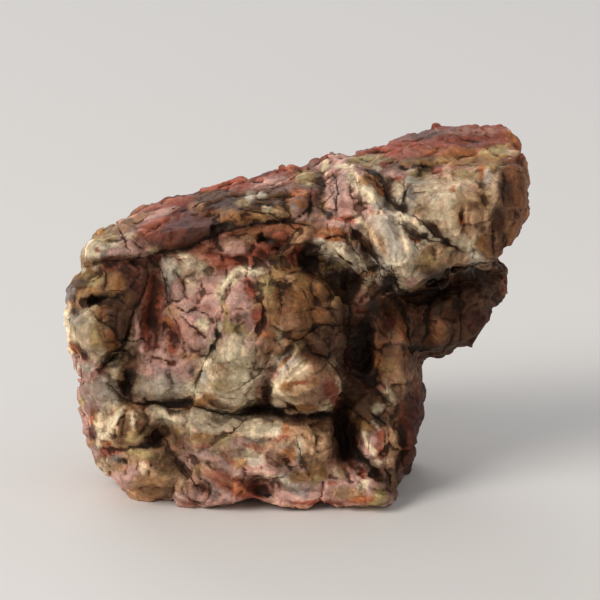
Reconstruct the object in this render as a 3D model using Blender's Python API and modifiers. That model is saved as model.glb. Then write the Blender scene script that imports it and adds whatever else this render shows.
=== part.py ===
"""A quartz flower stone: one furrowed lump of waxy red and cream quartz, modelled as one solid.

Rounded masses of rock are fused into one body. Bosses, hollows and furrows are then worked into its
surface, and its foot is worn flat. Run it with: blender --background --python part.py

The tables are in millimetres, and the finished solid is in metres. +Z is up, the best side faces -Y,
and the origin is the middle of the foot.
"""

import math
from dataclasses import dataclass

import bmesh
import bpy
import numpy as np
from mathutils import Euler, Matrix, Vector, noise
from mathutils.bvhtree import BVHTree

# Driving dimensions: the overall box of the stone, in metres.
WIDTH = 0.117
DEPTH = 0.068
HEIGHT = 0.088

# How finely the stone is worked, in metres.
FUSE_VOXEL = 0.0013
WORK_VOXEL = 0.0010
MOST_TRIANGLES = 9400
SMOOTH_FACTOR = 0.5
SMOOTH_STEPS = 5

MM = 0.001
COLOUR = (0.42, 0.22, 0.15, 1.0)
ROUGHNESS = 0.45

# The drawing point that the sides are laid out from, and how far off the eye stands, in millimetres.
CENTRE = Vector((0, 0, 47.6))
EYE_DISTANCE = 700
FURROW_STEP = 0.7
STEP_REACH = 9.0
NOISE_SEED = 7


@dataclass(frozen=True)
class Mass:
    """A lump of rock. Squareness 2 is an egg, and 6 is nearly a brick."""

    name: str
    centre: tuple
    half: tuple
    turn: tuple = (0, 0, 0)
    squareness: float = 3.0


@dataclass(frozen=True)
class Side:
    """A side of the stone as an eye sees it: azimuth 0 looks along +Y, elevation is above level."""

    azimuth: float
    elevation: float

    def axes(self):
        """Unit vectors to the eye's right, up, and back towards the eye."""
        a, e = math.radians(self.azimuth), math.radians(self.elevation)
        right = Vector((math.cos(a), math.sin(a), 0))
        back = Vector((math.sin(a) * math.cos(e), -math.cos(a) * math.cos(e), math.sin(e)))
        return right, back.cross(right), back

    def drawn(self, points):
        """Where the eye sees each point, as (across, up) on the plane through CENTRE."""
        right, above, back = (np.array(axis) for axis in self.axes())
        offset = points - np.array(CENTRE)
        nearer = EYE_DISTANCE / (EYE_DISTANCE - offset @ back)
        return np.stack((offset @ right * nearer, offset @ above * nearer), axis=1)

    def touch(self, tree, across, up):
        """The point of the surface that the eye sees at (across, up) on the plane through CENTRE."""
        right, above, back = self.axes()
        eye = CENTRE + back * EYE_DISTANCE
        aim = CENTRE + right * across + above * up
        return tree.ray_cast(eye, (aim - eye).normalized())[0]


@dataclass(frozen=True)
class Boss:
    """A raised lump on one side or, with a negative height, a hollow. Sharpness squares its flanks."""

    name: str
    side: Side
    at: tuple
    half: tuple
    height: float
    lean: float = 0.0
    sharpness: float = 1.0


@dataclass(frozen=True)
class Furrow:
    """A crack that follows a path over one side.

    Step lifts the rock on the path's left above the rock on its right.
    """

    name: str
    side: Side
    path: tuple
    width: float
    depth: float
    step: float = 0.0


FRONT = Side(0, 15)
BACK = Side(180, 10)
RIGHT = Side(90, 5)
LEFT = Side(270, 5)
TOP = Side(0, 88)

MASSES = (
    Mass("body", (-14, 0.5, 35), (36, 26.5, 37), (0, -3, 0), 5.0),
    Mass("slab", (-21, -3, 69), (32.5, 24, 7.5), (-1, -16, 0), 4.4),
    Mass("slab_lip", (-43, -12, 64.5), (11.5, 14, 6), (0, -10, 6), 3.0),
    Mass("head", (31, -2, 72.5), (25, 25, 13.5), (2, -10, 0), 3.8),
    Mass("head_top", (31.5, 0, 79.5), (24.5, 23.5, 8), (3, -5, 0), 5.0),
    Mass("head_root", (11, -3, 71), (15, 24, 11.5), (0, -16, 0), 3.4),
    Mass("head_brow", (26, -19, 67), (14, 12, 10.5), (0, -10, 0), 3.0),
    Mass("under_head", (28, 5, 49.5), (24, 19, 17.5), (0, -28, 0), 3.2),
    Mass("knob", (-46, -10, 50), (12.5, 16, 14.5), (0, 2, 0), 3.0),
    Mass("left_flank", (-42, -1, 35), (14.5, 21, 18), (0, 4, 0), 3.0),
    Mass("left_foot", (-36, -4, 15), (18, 22, 17), (0, 12, 0), 2.8),
    Mass("belly", (-5, -13, 45), (21, 18, 20), (0, 4, 0), 3.2),
    Mass("bottom_ledge", (-10, -10, 12), (24, 19.5, 14), (0, 2, 0), 4.0),
    Mass("right_column", (17, -1, 22), (13.5, 21, 25), (0, 3, 0), 4.0),
    Mass("right_foot", (14, -11, 8), (13, 15, 10), (0, 0, 0), 3.2),
    Mass("back_shoulder", (-24, 13, 50), (24, 18, 19), (0, -12, 6), 3.2),
    Mass("back_hip", (-6, 13, 22), (28, 16, 22), (0, 4, -5), 3.4),
    Mass("back_head", (34, 12, 70), (21, 14, 15), (0, -4, 8), 3.2),
)

BOSSES = (
    Boss("ochre_dome", FRONT, (-7, -3), (10, 10), 2.0),
    Boss("cream_bulge", FRONT, (2.5, -20.5), (10, 8), 3.6, 10, 1.6),
    Boss("pale_cheek", FRONT, (-19, -18), (7, 9), 1.6, 20),
    Boss("pale_ridge", FRONT, (-18, 3), (3.5, 8), 1.8, 10),
    Boss("pink_plane", FRONT, (-29, 3), (9, 12), -1.2),
    Boss("pink_ridge", FRONT, (-30, -10), (3, 10), 1.5, -8),
    Boss("red_flute", FRONT, (-35.5, -2), (2.8, 14), -2.6, -4),
    Boss("knob_swell", FRONT, (-50, -8), (7, 6), 1.4),
    Boss("knob_pocket", FRONT, (-51, 0.5), (4.5, 1.8), -3.2, 8, 1.5),
    Boss("head_dome", FRONT, (38, 23), (14, 10), 3.0),
    Boss("head_cheek", FRONT, (50, 13), (9, 10), 1.5, -30),
    Boss("bone_ledge", FRONT, (22, 14), (4, 11), 3.2, 22, 1.6),
    Boss("white_tooth", FRONT, (10.5, 12.5), (4, 3), 4.2, -35, 1.4),
    Boss("tooth_pocket", FRONT, (6, 9), (3.6, 6), -4.5, 20),
    Boss("brow_hollow", FRONT, (24.5, 30), (4, 6), -2.0, -20),
    Boss("dark_bay", FRONT, (16, -14), (5, 12), -6.5, 8),
    Boss("right_fang", FRONT, (19.5, -32), (5, 6), 2.5, 0, 1.5),
    Boss("toe_lump", FRONT, (17, -46.5), (5, 4), 1.2),
    Boss("ledge_front", FRONT, (-2, -37), (14, 8), 1.4, 0, 1.4),
    Boss("red_scoop", FRONT, (-11, -48), (8, 3.4), -3.2, -15, 1.5),
    Boss("left_lobe", FRONT, (-44, -31), (7, 6), 2.0),
    Boss("foot_lobe", FRONT, (-38, -44), (10, 5), 1.4),
    Boss("left_notch", FRONT, (-36.5, -34), (4, 5), -3.0, -30),
    Boss("slab_hollow", FRONT, (-24, 22), (10, 5), -1.2, 14),
    Boss("slab_bump", FRONT, (-14, 24), (6, 4), 1.2),
    Boss("back_boss", BACK, (20, 8), (14, 11), 3.0, 15),
    Boss("back_bulge", BACK, (-6, -22), (15, 12), 2.6, -10),
    Boss("back_pit", BACK, (4, -6), (5, 4), -3.0, 20),
    Boss("back_shelf", BACK, (-30, 22), (14, 7), 2.0, -8, 1.5),
    Boss("right_swell", RIGHT, (2, 26), (13, 9), 2.2, 5),
    Boss("right_hollow", RIGHT, (-4, 6), (12, 4), -2.6, 8),
    Boss("left_swell", LEFT, (8, -14), (11, 10), 2.2),
    Boss("top_dish", TOP, (-22, 2), (14, 9), -1.6, 10),
    Boss("top_rise", TOP, (34, 3), (14, 10), 1.0),
)

FURROWS = (
    Furrow("slab_mouth", FRONT, ((-57, 7.5), (-47.5, 9.5), (-37.5, 10.8), (-34, 12.5)), 1.8, 4.5, 1.2),
    Furrow(
        "slab_seam", FRONT,
        ((-34, 12.5), (-25, 15), (-15, 17.5), (-9.5, 19), (0, 19.5), (4.5, 18.5)),
        1.3, 3.0, 1.4,
    ),
    Furrow(
        "waist_left", FRONT,
        ((-46, -20), (-44, -25), (-37.5, -26), (-29, -26), (-21, -29.3)),
        1.8, 4.0, 0.8,
    ),
    Furrow(
        "waist_right", FRONT,
        ((-21, -29.3), (-15, -29), (-11, -27), (-6, -26.5), (0, -28.3), (6, -28.3), (11, -26)),
        1.8, 6.0, 1.2,
    ),
    Furrow(
        "chimney", FRONT,
        ((11, -26), (11.5, -32), (13, -38.5), (15.5, -42), (20, -44.5), (24, -45.5)),
        2.6, 8.0, -1.5,
    ),
    Furrow(
        "valley", FRONT,
        ((8, 14), (10, 6), (13, -1), (14, -9), (14, -16), (12, -24)),
        2.6, 6.0, -2.0,
    ),
    Furrow(
        "under_brow", FRONT,
        ((17, 9), (23, 5), (27, 0.5), (33, 1), (38, 4), (45, 7), (53, 9.5)),
        2.2, 5.0, 1.5,
    ),
    Furrow(
        "brow_crack", FRONT,
        ((21, 34), (23, 27.5), (25, 22), (29.5, 17), (34.5, 14), (39, 15)),
        1.4, 3.0, 0.8,
    ),
    Furrow(
        "knob_seam", FRONT,
        ((-37, 10.5), (-37.3, 2.5), (-39, -5), (-41, -11), (-44, -15.5), (-51, -16.5), (-58, -13)),
        1.5, 4.0, 0.6,
    ),
    Furrow(
        "foot_crack", FRONT,
        ((-42, -25), (-37, -29), (-33.5, -34), (-30, -39), (-27, -43), (-25, -51)),
        1.6, 4.0, 1.0,
    ),
    Furrow("neck_groove", FRONT, ((5, 36), (4, 28), (2, 22), (0, 19.5)), 1.6, 2.5, 0.6),
    Furrow(
        "ledge_groove", FRONT,
        ((13, 34), (14.5, 26), (16, 19), (18.5, 12.5), (21, 7)),
        1.4, 3.2, 0.6,
    ),
    Furrow(
        "flank_seam", FRONT,
        ((21, -7), (23.5, -17), (23.5, -25), (26, -33), (27, -45)),
        1.4, 2.2, 0.6,
    ),
    Furrow(
        "belly_seam", FRONT,
        ((-15, 10), (-20.5, 0), (-21.5, -9), (-25, -19), (-25, -25)),
        1.4, 2.0, 0.8,
    ),
    Furrow(
        "bulge_seam", FRONT,
        ((7.5, -7.5), (0, -11), (-4, -13), (-7.5, -18), (-9, -24.5), (-10, -27)),
        1.4, 2.6, -0.4,
    ),
    Furrow("dome_seam", FRONT, ((-4, 9), (-13, 5), (-16, -4), (-13, -12), (-4, -13)), 1.2, 1.4, 0.3),
    Furrow("head_rim", FRONT, ((14, 36.5), (22, 34.5), (32, 33.5), (44, 33), (53, 34)), 1.6, 0.8, 0.5),
    Furrow(
        "back_joint", BACK,
        ((-52, 12), (-36, 8), (-22, 10), (-8, 3), (8, -2), (22, -6), (36, -4), (56, -9)),
        2.0, 4.0, 1.2,
    ),
    Furrow(
        "back_rift", BACK,
        ((-12, 32), (-8, 18), (-9, 4), (-3, -10), (2, -24), (0, -38)),
        1.8, 3.6, 1.0,
    ),
    Furrow("back_waist", BACK, ((-30, -18), (-14, -24), (2, -24), (18, -30), (36, -27)), 1.6, 3.0, 0.8),
    Furrow("right_joint", RIGHT, ((-28, 12), (-14, 8), (0, 9), (14, 6), (26, 8)), 1.8, 4.0, 1.0),
    Furrow(
        "right_rift", RIGHT,
        ((-8, 38), (-6, 24), (-10, 12), (-6, 0), (-9, -20), (-6, -40)),
        1.6, 2.6, 0.8,
    ),
    Furrow("left_joint", LEFT, ((-24, 8), (-8, 10), (6, 7), (22, 10)), 1.8, 3.4, 1.0),
    Furrow("left_rift", LEFT, ((4, 12), (2, 0), (6, -12), (3, -26), (8, -42)), 1.6, 3.0, 0.8),
    Furrow("top_rift", TOP, ((-44, -16), (-30, -6), (-12, -2), (0, 8), (10, 24)), 1.6, 2.2, 0.6),
    Furrow("top_joint", TOP, ((6, -24), (8, -10), (4, 2), (12, 12), (10, 26)), 1.8, 2.4, 0.8),
)

# The small relief that covers every side: joint plates and a softer grain, in millimetres.
PLATE_SIZE = 13.0
PLATE_DOME = 1.5
PLATE_JOINT = 1.3
JOINT_SHARE = 0.14
PLATE_WARP = 0.5
PLATE_LEVEL = 1.6
STEP_SHARE = 0.2
HEART_SPREAD = 17.3
GRAIN_SIZE = 7.0
GRAIN_HEIGHT = 0.5
FRONT_QUIET = 0.55


def clear_scene():
    """Removes every object that the session started with."""
    for old in list(bpy.data.objects):
        bpy.data.objects.remove(old)


def lump(bm, mass):
    """Adds one superellipsoid of rock to the bmesh."""
    made = bmesh.ops.create_icosphere(bm, subdivisions=4, radius=1)["verts"]
    turn = Euler([math.radians(angle) for angle in mass.turn]).to_matrix()
    power = mass.squareness
    for vert in made:
        spread = sum(abs(part) ** power for part in vert.co.normalized()) ** (-1 / power)
        unit = vert.co.normalized() * spread
        sized = Vector([part * half for part, half in zip(unit, mass.half)])
        vert.co = (turn @ sized + Vector(mass.centre)) * MM


def evaluated_mesh(obj):
    """The object's mesh with its modifiers applied; the object itself is removed."""
    graph = bpy.context.evaluated_depsgraph_get()
    mesh = bpy.data.meshes.new_from_object(obj.evaluated_get(graph))
    bpy.data.objects.remove(obj)
    return mesh


def link(name, mesh):
    """Puts a mesh into the scene as an object."""
    obj = bpy.data.objects.new(name, mesh)
    bpy.context.scene.collection.objects.link(obj)
    return obj


def add_voxel_remesh(obj, size):
    """Fuses everything in the object into one closed skin."""
    remesh = obj.modifiers.new("fuse", "REMESH")
    remesh.mode = "VOXEL"
    remesh.voxel_size = size


def add_smooth(obj, steps):
    """Rounds the skin a little."""
    smooth = obj.modifiers.new("round", "SMOOTH")
    smooth.factor = SMOOTH_FACTOR
    smooth.iterations = steps


def fused_masses():
    """One skin round all the masses, softened where they meet."""
    bm = bmesh.new()
    for mass in MASSES:
        lump(bm, mass)
    mesh = bpy.data.meshes.new("masses")
    bm.to_mesh(mesh)
    bm.free()
    obj = link("masses", mesh)
    add_voxel_remesh(obj, FUSE_VOXEL)
    add_smooth(obj, SMOOTH_STEPS)
    return evaluated_mesh(obj)


def points_and_normals(mesh):
    """The vertices in millimetres and their normals, as arrays."""
    count = len(mesh.vertices)
    points = np.empty(count * 3)
    mesh.vertices.foreach_get("co", points)
    normals = np.empty(count * 3)
    mesh.vertices.foreach_get("normal", normals)
    return points.reshape(-1, 3) / MM, normals.reshape(-1, 3)


def surface_tree(mesh, points):
    """A search tree of the surface, in millimetres."""
    return BVHTree.FromPolygons(points.tolist(), [face.vertices[:] for face in mesh.polygons])


def boss_height(boss, tree, points, normals):
    """How far one boss lifts each point."""
    right, above, back = (np.array(axis) for axis in boss.side.axes())
    centre = boss.side.touch(tree, *boss.at)
    if centre is None:
        raise ValueError(f"{boss.name} misses the stone")
    offset = points - np.array(centre)
    lean = math.radians(boss.lean)
    across, up = offset @ right, offset @ above
    along = across * math.cos(lean) + up * math.sin(lean)
    over = up * math.cos(lean) - across * math.sin(lean)
    reach = np.hypot(along / boss.half[0], over / boss.half[1])
    facing = np.clip(normals @ back * 2, 0, 1)
    near = np.abs(offset @ back) < 1.5 * max(boss.half)
    dome = (1 - np.clip(reach, 0, 1) ** (2 * boss.sharpness)) ** 2
    return boss.height * dome * facing * near


def furrow_steps(furrow):
    """Places close together along the furrow's path, as (across, up, run, rise)."""
    for (x0, y0), (x1, y1) in zip(furrow.path, furrow.path[1:]):
        length = math.hypot(x1 - x0, y1 - y0)
        steps = max(2, round(length / FURROW_STEP))
        for step in range(steps):
            share = step / steps
            run, rise = (x1 - x0) / length, (y1 - y0) / length
            yield x0 + (x1 - x0) * share, y0 + (y1 - y0) * share, run, rise


def furrow_lift(furrow, tree, points):
    """How far one furrow sinks the rock at each point, and how far it shifts the rock beside it."""
    nearest = np.full(len(points), np.inf)
    left = np.zeros(len(points))
    drawn = furrow.side.drawn(points)
    for across, up, run, rise in furrow_steps(furrow):
        spot = furrow.side.touch(tree, across, up)
        if spot is None:
            continue
        away = ((points - np.array(spot)) ** 2).sum(axis=1)
        closer = away < nearest
        nearest[closer] = away[closer]
        left[closer] = (drawn[closer, 1] - up) * run - (drawn[closer, 0] - across) * rise
    if np.isinf(nearest).any():
        raise ValueError(f"{furrow.name} misses the stone")
    away = np.sqrt(nearest)
    depth = furrow.depth * np.clip(1 - away / (furrow.width * 1.6), 0, 1) ** 1.5
    fade = np.clip(1 - away / STEP_REACH, 0, 1) ** 2
    return depth, furrow.step * np.tanh(left / furrow.width) * fade


def small_relief(points, normals):
    """Joint plates and grain over the whole stone, quieter on the best side."""
    back = np.array(FRONT.axes()[2])
    quiet = 1 - (1 - FRONT_QUIET) * np.clip(normals @ back * 1.5, 0, 1)
    lift = np.empty(len(points))
    for index, point in enumerate(points):
        place = Vector(point)
        cell = place / PLATE_SIZE
        cell += noise.noise_vector(cell * 1.4) * PLATE_WARP
        (near, far), (heart, other) = (found[:2] for found in noise.voronoi(cell))
        joint = math.exp(-(((far - near) / JOINT_SHARE) ** 2))
        inside = 0.5 + 0.5 * min(1, (far - near) / STEP_SHARE)
        own, next_to = noise.cell(heart * HEART_SPREAD), noise.cell(other * HEART_SPREAD)
        level = own * inside + next_to * (1 - inside)
        grain = noise.fractal(place / GRAIN_SIZE, 0.8, 2.0, 3)
        plate = (0.5 - near) * PLATE_DOME + level * PLATE_LEVEL - joint * PLATE_JOINT
        lift[index] = plate + grain * GRAIN_HEIGHT
    return lift * quiet


def work_surface(mesh):
    """Raises the bosses, cuts the furrows and lays the small relief over the fused skin."""
    points, normals = points_and_normals(mesh)
    tree = surface_tree(mesh, points)
    lift = small_relief(points, normals)
    for boss in BOSSES:
        lift += boss_height(boss, tree, points, normals)
    deepest = np.zeros(len(points))
    for furrow in FURROWS:
        depth, step = furrow_lift(furrow, tree, points)
        deepest = np.maximum(deepest, depth)
        lift += step
    points += normals * (lift - deepest)[:, None]
    mesh.vertices.foreach_set("co", (points * MM).ravel())
    mesh.update()


def keep_outer_skin(bm):
    """Deletes the sealed bubbles inside the stone, and keeps the skin round it."""
    waiting, skins = set(bm.verts), []
    while waiting:
        skin, growing = set(), [waiting.pop()]
        while growing:
            vert = growing.pop()
            skin.add(vert)
            beside = {edge.other_vert(vert) for edge in vert.link_edges} & waiting
            waiting -= beside
            growing.extend(beside)
        skins.append(skin)
    outer = max(skins, key=len)
    bmesh.ops.delete(bm, geom=[vert for vert in bm.verts if vert not in outer], context="VERTS")


def faceted(mesh):
    """The worked skin fused again, with no more than MOST_TRIANGLES."""
    obj = link("worked", mesh)
    add_voxel_remesh(obj, WORK_VOXEL)
    fine = evaluated_mesh(obj)
    obj = link("fine", fine)
    obj.modifiers.new("split", "TRIANGULATE")
    thin = obj.modifiers.new("thin", "DECIMATE")
    thin.ratio = MOST_TRIANGLES / (2 * len(fine.polygons))
    return evaluated_mesh(obj)


def wear_foot(mesh):
    """Cuts the stone off level at z = 0 and closes the cut with a flat face."""
    bm = bmesh.new()
    bm.from_mesh(mesh)
    whole = bm.verts[:] + bm.edges[:] + bm.faces[:]
    bmesh.ops.bisect_plane(
        bm, geom=whole, dist=1e-7, plane_co=(0, 0, 0), plane_no=(0, 0, -1), clear_outer=True
    )
    keep_outer_skin(bm)
    bmesh.ops.holes_fill(bm, edges=[edge for edge in bm.edges if edge.is_boundary])
    bmesh.ops.triangulate(bm, faces=bm.faces[:])
    bm.to_mesh(mesh)
    bm.free()


def fit_to_box(mesh):
    """Centres the stone over the origin and brings its box to the driving dimensions."""
    points = points_and_normals(mesh)[0]
    low, high = points.min(axis=0), points.max(axis=0)
    middle = (low + high) / 2
    scale = np.array((WIDTH, DEPTH, HEIGHT)) / ((high - low) * MM)
    shift = Vector((-middle[0], -middle[1], -low[2])) * MM
    mesh.transform(Matrix.Diagonal((*scale, 1)) @ Matrix.Translation(shift))


def quartz_material():
    """Waxy reddish quartz."""
    material = bpy.data.materials.new("flower_quartz")
    material.use_nodes = True
    shader = material.node_tree.nodes["Principled BSDF"]
    shader.inputs["Base Color"].default_value = COLOUR
    shader.inputs["Roughness"].default_value = ROUGHNESS
    shader.inputs["Metallic"].default_value = 0.0
    return material


def main():
    clear_scene()
    noise.seed_set(NOISE_SEED)
    mesh = fused_masses()
    work_surface(mesh)
    mesh = faceted(mesh)
    wear_foot(mesh)
    fit_to_box(mesh)
    mesh.name = "flower_stone"
    mesh.materials.clear()
    mesh.materials.append(quartz_material())
    collection = bpy.data.collections.new("quartz_flower_stone")
    bpy.context.scene.collection.children.link(collection)
    collection.objects.link(bpy.data.objects.new("flower_stone", mesh))


main()
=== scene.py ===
"""Dresses the quartz flower stone: a furrowed lump of waxy red, rose and cream quartz.

The plain solid comes from the shared frame. Its skin is made fine, carved, folded and roughened, and each
mineral is then laid on it as a share from 0 to 1, which the quartz finish turns into colour and gloss.

Skins are worked on in millimetres and written in metres. +Z is up and the best side faces -Y. A place on a
side is given on that side's drawing: four units to the millimetre, 600 units square, with its y downwards.
"""

import itertools
import logging
import math
from collections.abc import Sequence
from dataclasses import dataclass, field
from enum import Enum

import bpy
import numpy as np
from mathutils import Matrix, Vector
from mathutils.bvhtree import BVHTree


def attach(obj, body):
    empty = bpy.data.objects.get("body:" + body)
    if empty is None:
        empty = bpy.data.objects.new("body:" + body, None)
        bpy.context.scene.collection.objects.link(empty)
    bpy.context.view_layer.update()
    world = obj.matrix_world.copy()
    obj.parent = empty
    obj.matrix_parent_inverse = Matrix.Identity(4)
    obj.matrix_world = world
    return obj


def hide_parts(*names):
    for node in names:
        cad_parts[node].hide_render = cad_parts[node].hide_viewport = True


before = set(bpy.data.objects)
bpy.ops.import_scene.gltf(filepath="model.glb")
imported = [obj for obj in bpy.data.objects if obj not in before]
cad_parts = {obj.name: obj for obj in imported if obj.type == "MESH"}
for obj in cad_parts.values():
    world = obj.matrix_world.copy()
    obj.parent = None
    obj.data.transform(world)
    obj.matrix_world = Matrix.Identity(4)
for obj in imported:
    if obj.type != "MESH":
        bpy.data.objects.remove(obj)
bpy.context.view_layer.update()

log = logging.getLogger("flower_stone")

NODE = "flower_stone"

MM = 0.001
DRAWN = 0.25
DRAWING_MIDDLE = 300.0
LOOK_AT = (0.9, 0.0, 46.9)
EYE_DISTANCE = 700.0

Place = tuple[float, float]


class Side(Enum):
    """A side of the stone, as (azimuth, elevation) of the eye that looks at it."""

    FRONT = (0, 15)
    BACK = (180, 12)
    LEFT = (270, 10)
    RIGHT = (90, 10)
    TOP = (0, 85)


class Mineral(Enum):
    """What the quartz is stained with. The value is the name of its share on the skin."""

    ROSE = "rose"
    RED = "red"
    WINE = "wine"
    RUST = "rust"
    OCHRE = "ochre"
    OLIVE = "olive"
    TAN = "tan"
    BROWN = "brown"
    CREAM = "cream"
    BONE = "bone"
    GREY = "grey"
    INK = "ink"


class Leaning:
    """A leaning oval on a side's drawing, with its half sizes in drawing units and its lean in degrees."""

    def reach(self, spots: np.ndarray) -> np.ndarray:
        """Measures how far out in the oval some spots are.

        Args:
            spots: Places on the drawing.

        Returns:
            0 in the oval's middle, 1 at its rim and more beyond.
        """
        turn = math.radians(-self.lean)
        across, down = spots[:, 0] - self.at[0], spots[:, 1] - self.at[1]
        along = (across * math.cos(turn) + down * math.sin(turn)) / self.half[0]
        aside = (down * math.cos(turn) - across * math.sin(turn)) / self.half[1]
        return np.hypot(along, aside)


@dataclass(frozen=True)
class Oval(Leaning):
    """An oval with an amount: a lump's height, how smooth a place is or how deep its film of grime and
    painted shade is.
    """

    at: Place
    half: Place
    amount: float
    lean: float = 0.0
    side: Side = Side.FRONT


@dataclass(frozen=True)
class Fold:
    """A ridge, or with a negative height a crack, that follows a path.

    Width is in drawing units and height in millimetres. Ink is how black the line is. Step lifts the rock on
    the path's left, in millimetres.
    """

    path: tuple[Place, ...]
    width: float
    height: float
    ink: float = 0.0
    step: float = 0.0
    side: Side = Side.FRONT


@dataclass(frozen=True)
class Patch(Leaning):
    """A stain of one mineral, drawn as an oval with a ragged edge."""

    at: Place
    half: Place
    mineral: Mineral
    lean: float = 0.0
    strength: float = 1.0
    side: Side = Side.FRONT


@dataclass(frozen=True)
class Pull:
    """A soft pull on the whole rock round a place, all in millimetres."""

    at: tuple[float, float, float]
    reach: float
    by: tuple[float, float, float]


ROSE, RED, WINE, RUST, OCHRE, OLIVE, TAN, BROWN, CREAM, BONE, GREY, INK = Mineral


def drawn(kind: type, side: Side, *rows: tuple) -> tuple:
    """Draws ovals on a side.

    Args:
        kind: What they are: Oval or Patch.
        side: The side.
        rows: One for each oval: its middle's two numbers, its two halves, and then what its kind takes.

    Returns:
        The marks.
    """
    return tuple(kind(row[:2], row[2:4], *row[4:], side=side) for row in rows)


def folds(side: Side, *rows: tuple) -> tuple:
    """Draws folds on a side.

    Args:
        side: The side.
        rows: One for each fold: its path's numbers, its width and height, and then its ink and step, if any.

    Returns:
        The folds.
    """
    return tuple(Fold(tuple(zip(path[::2], path[1::2])), *sizes, side=side) for path, *sizes in rows)


PULLS = tuple(Pull(*row) for row in (
    ((19, 16, 85), 13, (0, 0, -2)), ((53, 10, 85), 13, (0.6, 0, 1)), ((-8, 14, 76), 10, (0, 0, 1)),
    ((-20, 14, 71), 14, (0, 0, -2.6)), ((-45, 10, 68), 15, (0, 0, -2.7)), ((-35, 17, 70), 9, (0, 0, -1.8)),
    ((-51, -6, 62), 9, (1.8, 0, -1)), ((-50, -6, 19), 15, (-2.2, 0, 0.5)), ((-57, -6, 31), 10, (1, 0, 0)),
    ((-48, 0, 2), 12, (4, 0, 0)), ((-50, -17, 3), 13, (4.5, 1, 1)), ((-9, -26, 1), 13, (0, 0, 1.9)),
    ((17, -22, 2), 15, (0, -5, 0)), ((30, -8, 4), 12, (-3.5, 0, 0)), ((29, -18, 5), 10, (-3, 0, 0.5)),
    ((34, -5, 29), 7, (-2.8, 0, 0)), ((50, -1, 40), 10, (-2.2, 0, 1.2)), ((56, -14, 65), 10, (-3.2, 0, 0)),
    ((40, -2, 33), 13, (0, 0, -2.6)), ((60, 0, 78), 9, (-1, 0, 0)), ((29, 14, 86), 12, (0, 0, 2)),
    ((44, 14, 88), 10, (0, 0, 0.9))
))

# Lumps and, below 0, hollows: their heights are in millimetres.
BOSSES = drawn(Oval, Side.FRONT,
    (95, 300, 15, 4.5, -2.6, 14), (152, 305, 9, 42, -1.2, -4), (216, 229, 9, 4, -1.2, 20),
    (266, 239, 9, 5, -3), (277, 247, 7, 6, -3), (308, 261, 13, 14, -3.8), (347, 287, 13, 15, -2.8),
    (338, 252, 25, 12, 4.2, -38), (366, 252, 6, 20, -1.8, 33), (390, 240, 13, 32, 1.5, 24),
    (364, 345, 17, 40, -2.5), (265, 411, 24, 8, -3, -5), (343, 435, 10, 34, -2.3, 2),
    (156, 437, 16, 12, -2.2, 20), (128, 385, 8, 20, -2.2, 5), (118, 374, 8, 12, 2.2, 8),
    (262, 492, 10, 6, -1.8, -30), (273, 461, 11, 12, 1, -40), (247, 352, 24, 17, 2, -12),
    (281, 275, 13, 11, 1.8), (306, 389, 30, 22, 1.4, 15), (267, 393, 6, 12, -1.8), (290, 308, 24, 26, 0.8),
    (321, 290, 7, 15, 1.2, 14), (337, 300, 7, 12, 0.9, 8), (294, 326, 13, 10, 1.2), (322, 340, 16, 14, 1),
    (268, 286, 9, 12, 0.8), (300, 243, 22, 8, 1.4, 50), (228, 217, 20, 9, 1.2, 5), (300, 202, 14, 16, 1.2),
    (322, 192, 6, 18, -1.5, -5), (437, 230, 16, 8, -1.8, -40), (481, 205, 18, 9, -0.9, 8),
    (446, 197, 24, 18, 1.8, 5), (497, 190, 5, 22, 1.3, -4), (484, 197, 7, 18, -1.5, 10),
    (466, 217, 3, 12, 0.9), (474, 221, 3, 14, 1, -8), (462, 214, 2.5, 9, -0.9, -15), (481, 223, 4, 12, -1),
    (411, 193, 8, 8, 1), (366, 190, 20, 9, 2.2, -36), (412, 192, 5, 8, -1.2, 20), (385, 288, 10, 12, -2),
    (411, 280, 15, 10, 1.8, 10), (440, 285, 18, 12, -2, 25), (440, 328, 14, 18, 1),
    (388, 395, 7, 16, 1.2, 10), (372, 445, 14, 18, 1.2), (378, 478, 10, 10, -1.4), (383, 497, 8, 9, 1),
    (108, 425, 14, 20, 0.8), (122, 482, 14, 10, 0.8), (92, 400, 14, 12, 0.8), (174, 338, 7, 18, -0.9, 12)
) + drawn(Oval, Side.BACK,
    (150, 235, 54, 40, 2, 5), (405, 325, 46, 42, 3), (262, 330, 30, 52, 1.6, -6), (488, 330, 26, 38, 2.2),
    (350, 458, 62, 26, 1.8, 6), (236, 462, 30, 30, 1.6), (470, 452, 36, 28, 1.6), (330, 372, 14, 24, -3, 20),
    (208, 345, 11, 34, -2.6), (446, 276, 30, 7, -2.2, -8), (292, 452, 8, 24, -2.2, 10),
    (424, 445, 7, 22, -1.8, -12), (120, 318, 30, 9, -2, -6), (452, 330, 6, 34, -1.8, 6),
    (330, 300, 26, 22, 1.4, 20)
) + drawn(Oval, Side.LEFT,
    (248, 322, 44, 44, 0.9, 20), (338, 300, 26, 30, 0.8, 10), (230, 452, 44, 30, 0.8, -20),
    (350, 452, 38, 28, 0.6), (300, 350, 10, 34, -2.8, -8), (290, 445, 8, 30, -2.4),
    (204, 385, 30, 8, -1.8, 8), (196, 285, 12, 26, -1.6)
) + drawn(Oval, Side.RIGHT,
    (262, 205, 48, 40, 0.5, 10), (368, 215, 36, 40, 0.5), (316, 215, 7, 44, -2.4, 6), (260, 318, 50, 22, 0.8),
    (360, 330, 34, 24, 0.8), (290, 440, 36, 44, 0.8), (372, 440, 26, 40, 0.8), (334, 430, 8, 44, -2.4, 4),
    (230, 440, 10, 40, -1.8, -6)
) + drawn(Oval, Side.TOP,
    (440, 280, 60, 26, 0.4, 8), (330, 300, 10, 60, -2, 14), (230, 320, 70, 22, 0.3, 6),
    (170, 260, 44, 20, 0.3, 10), (280, 240, 36, 22, 0.3), (420, 225, 50, 16, 0.3, -6)
)


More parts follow.
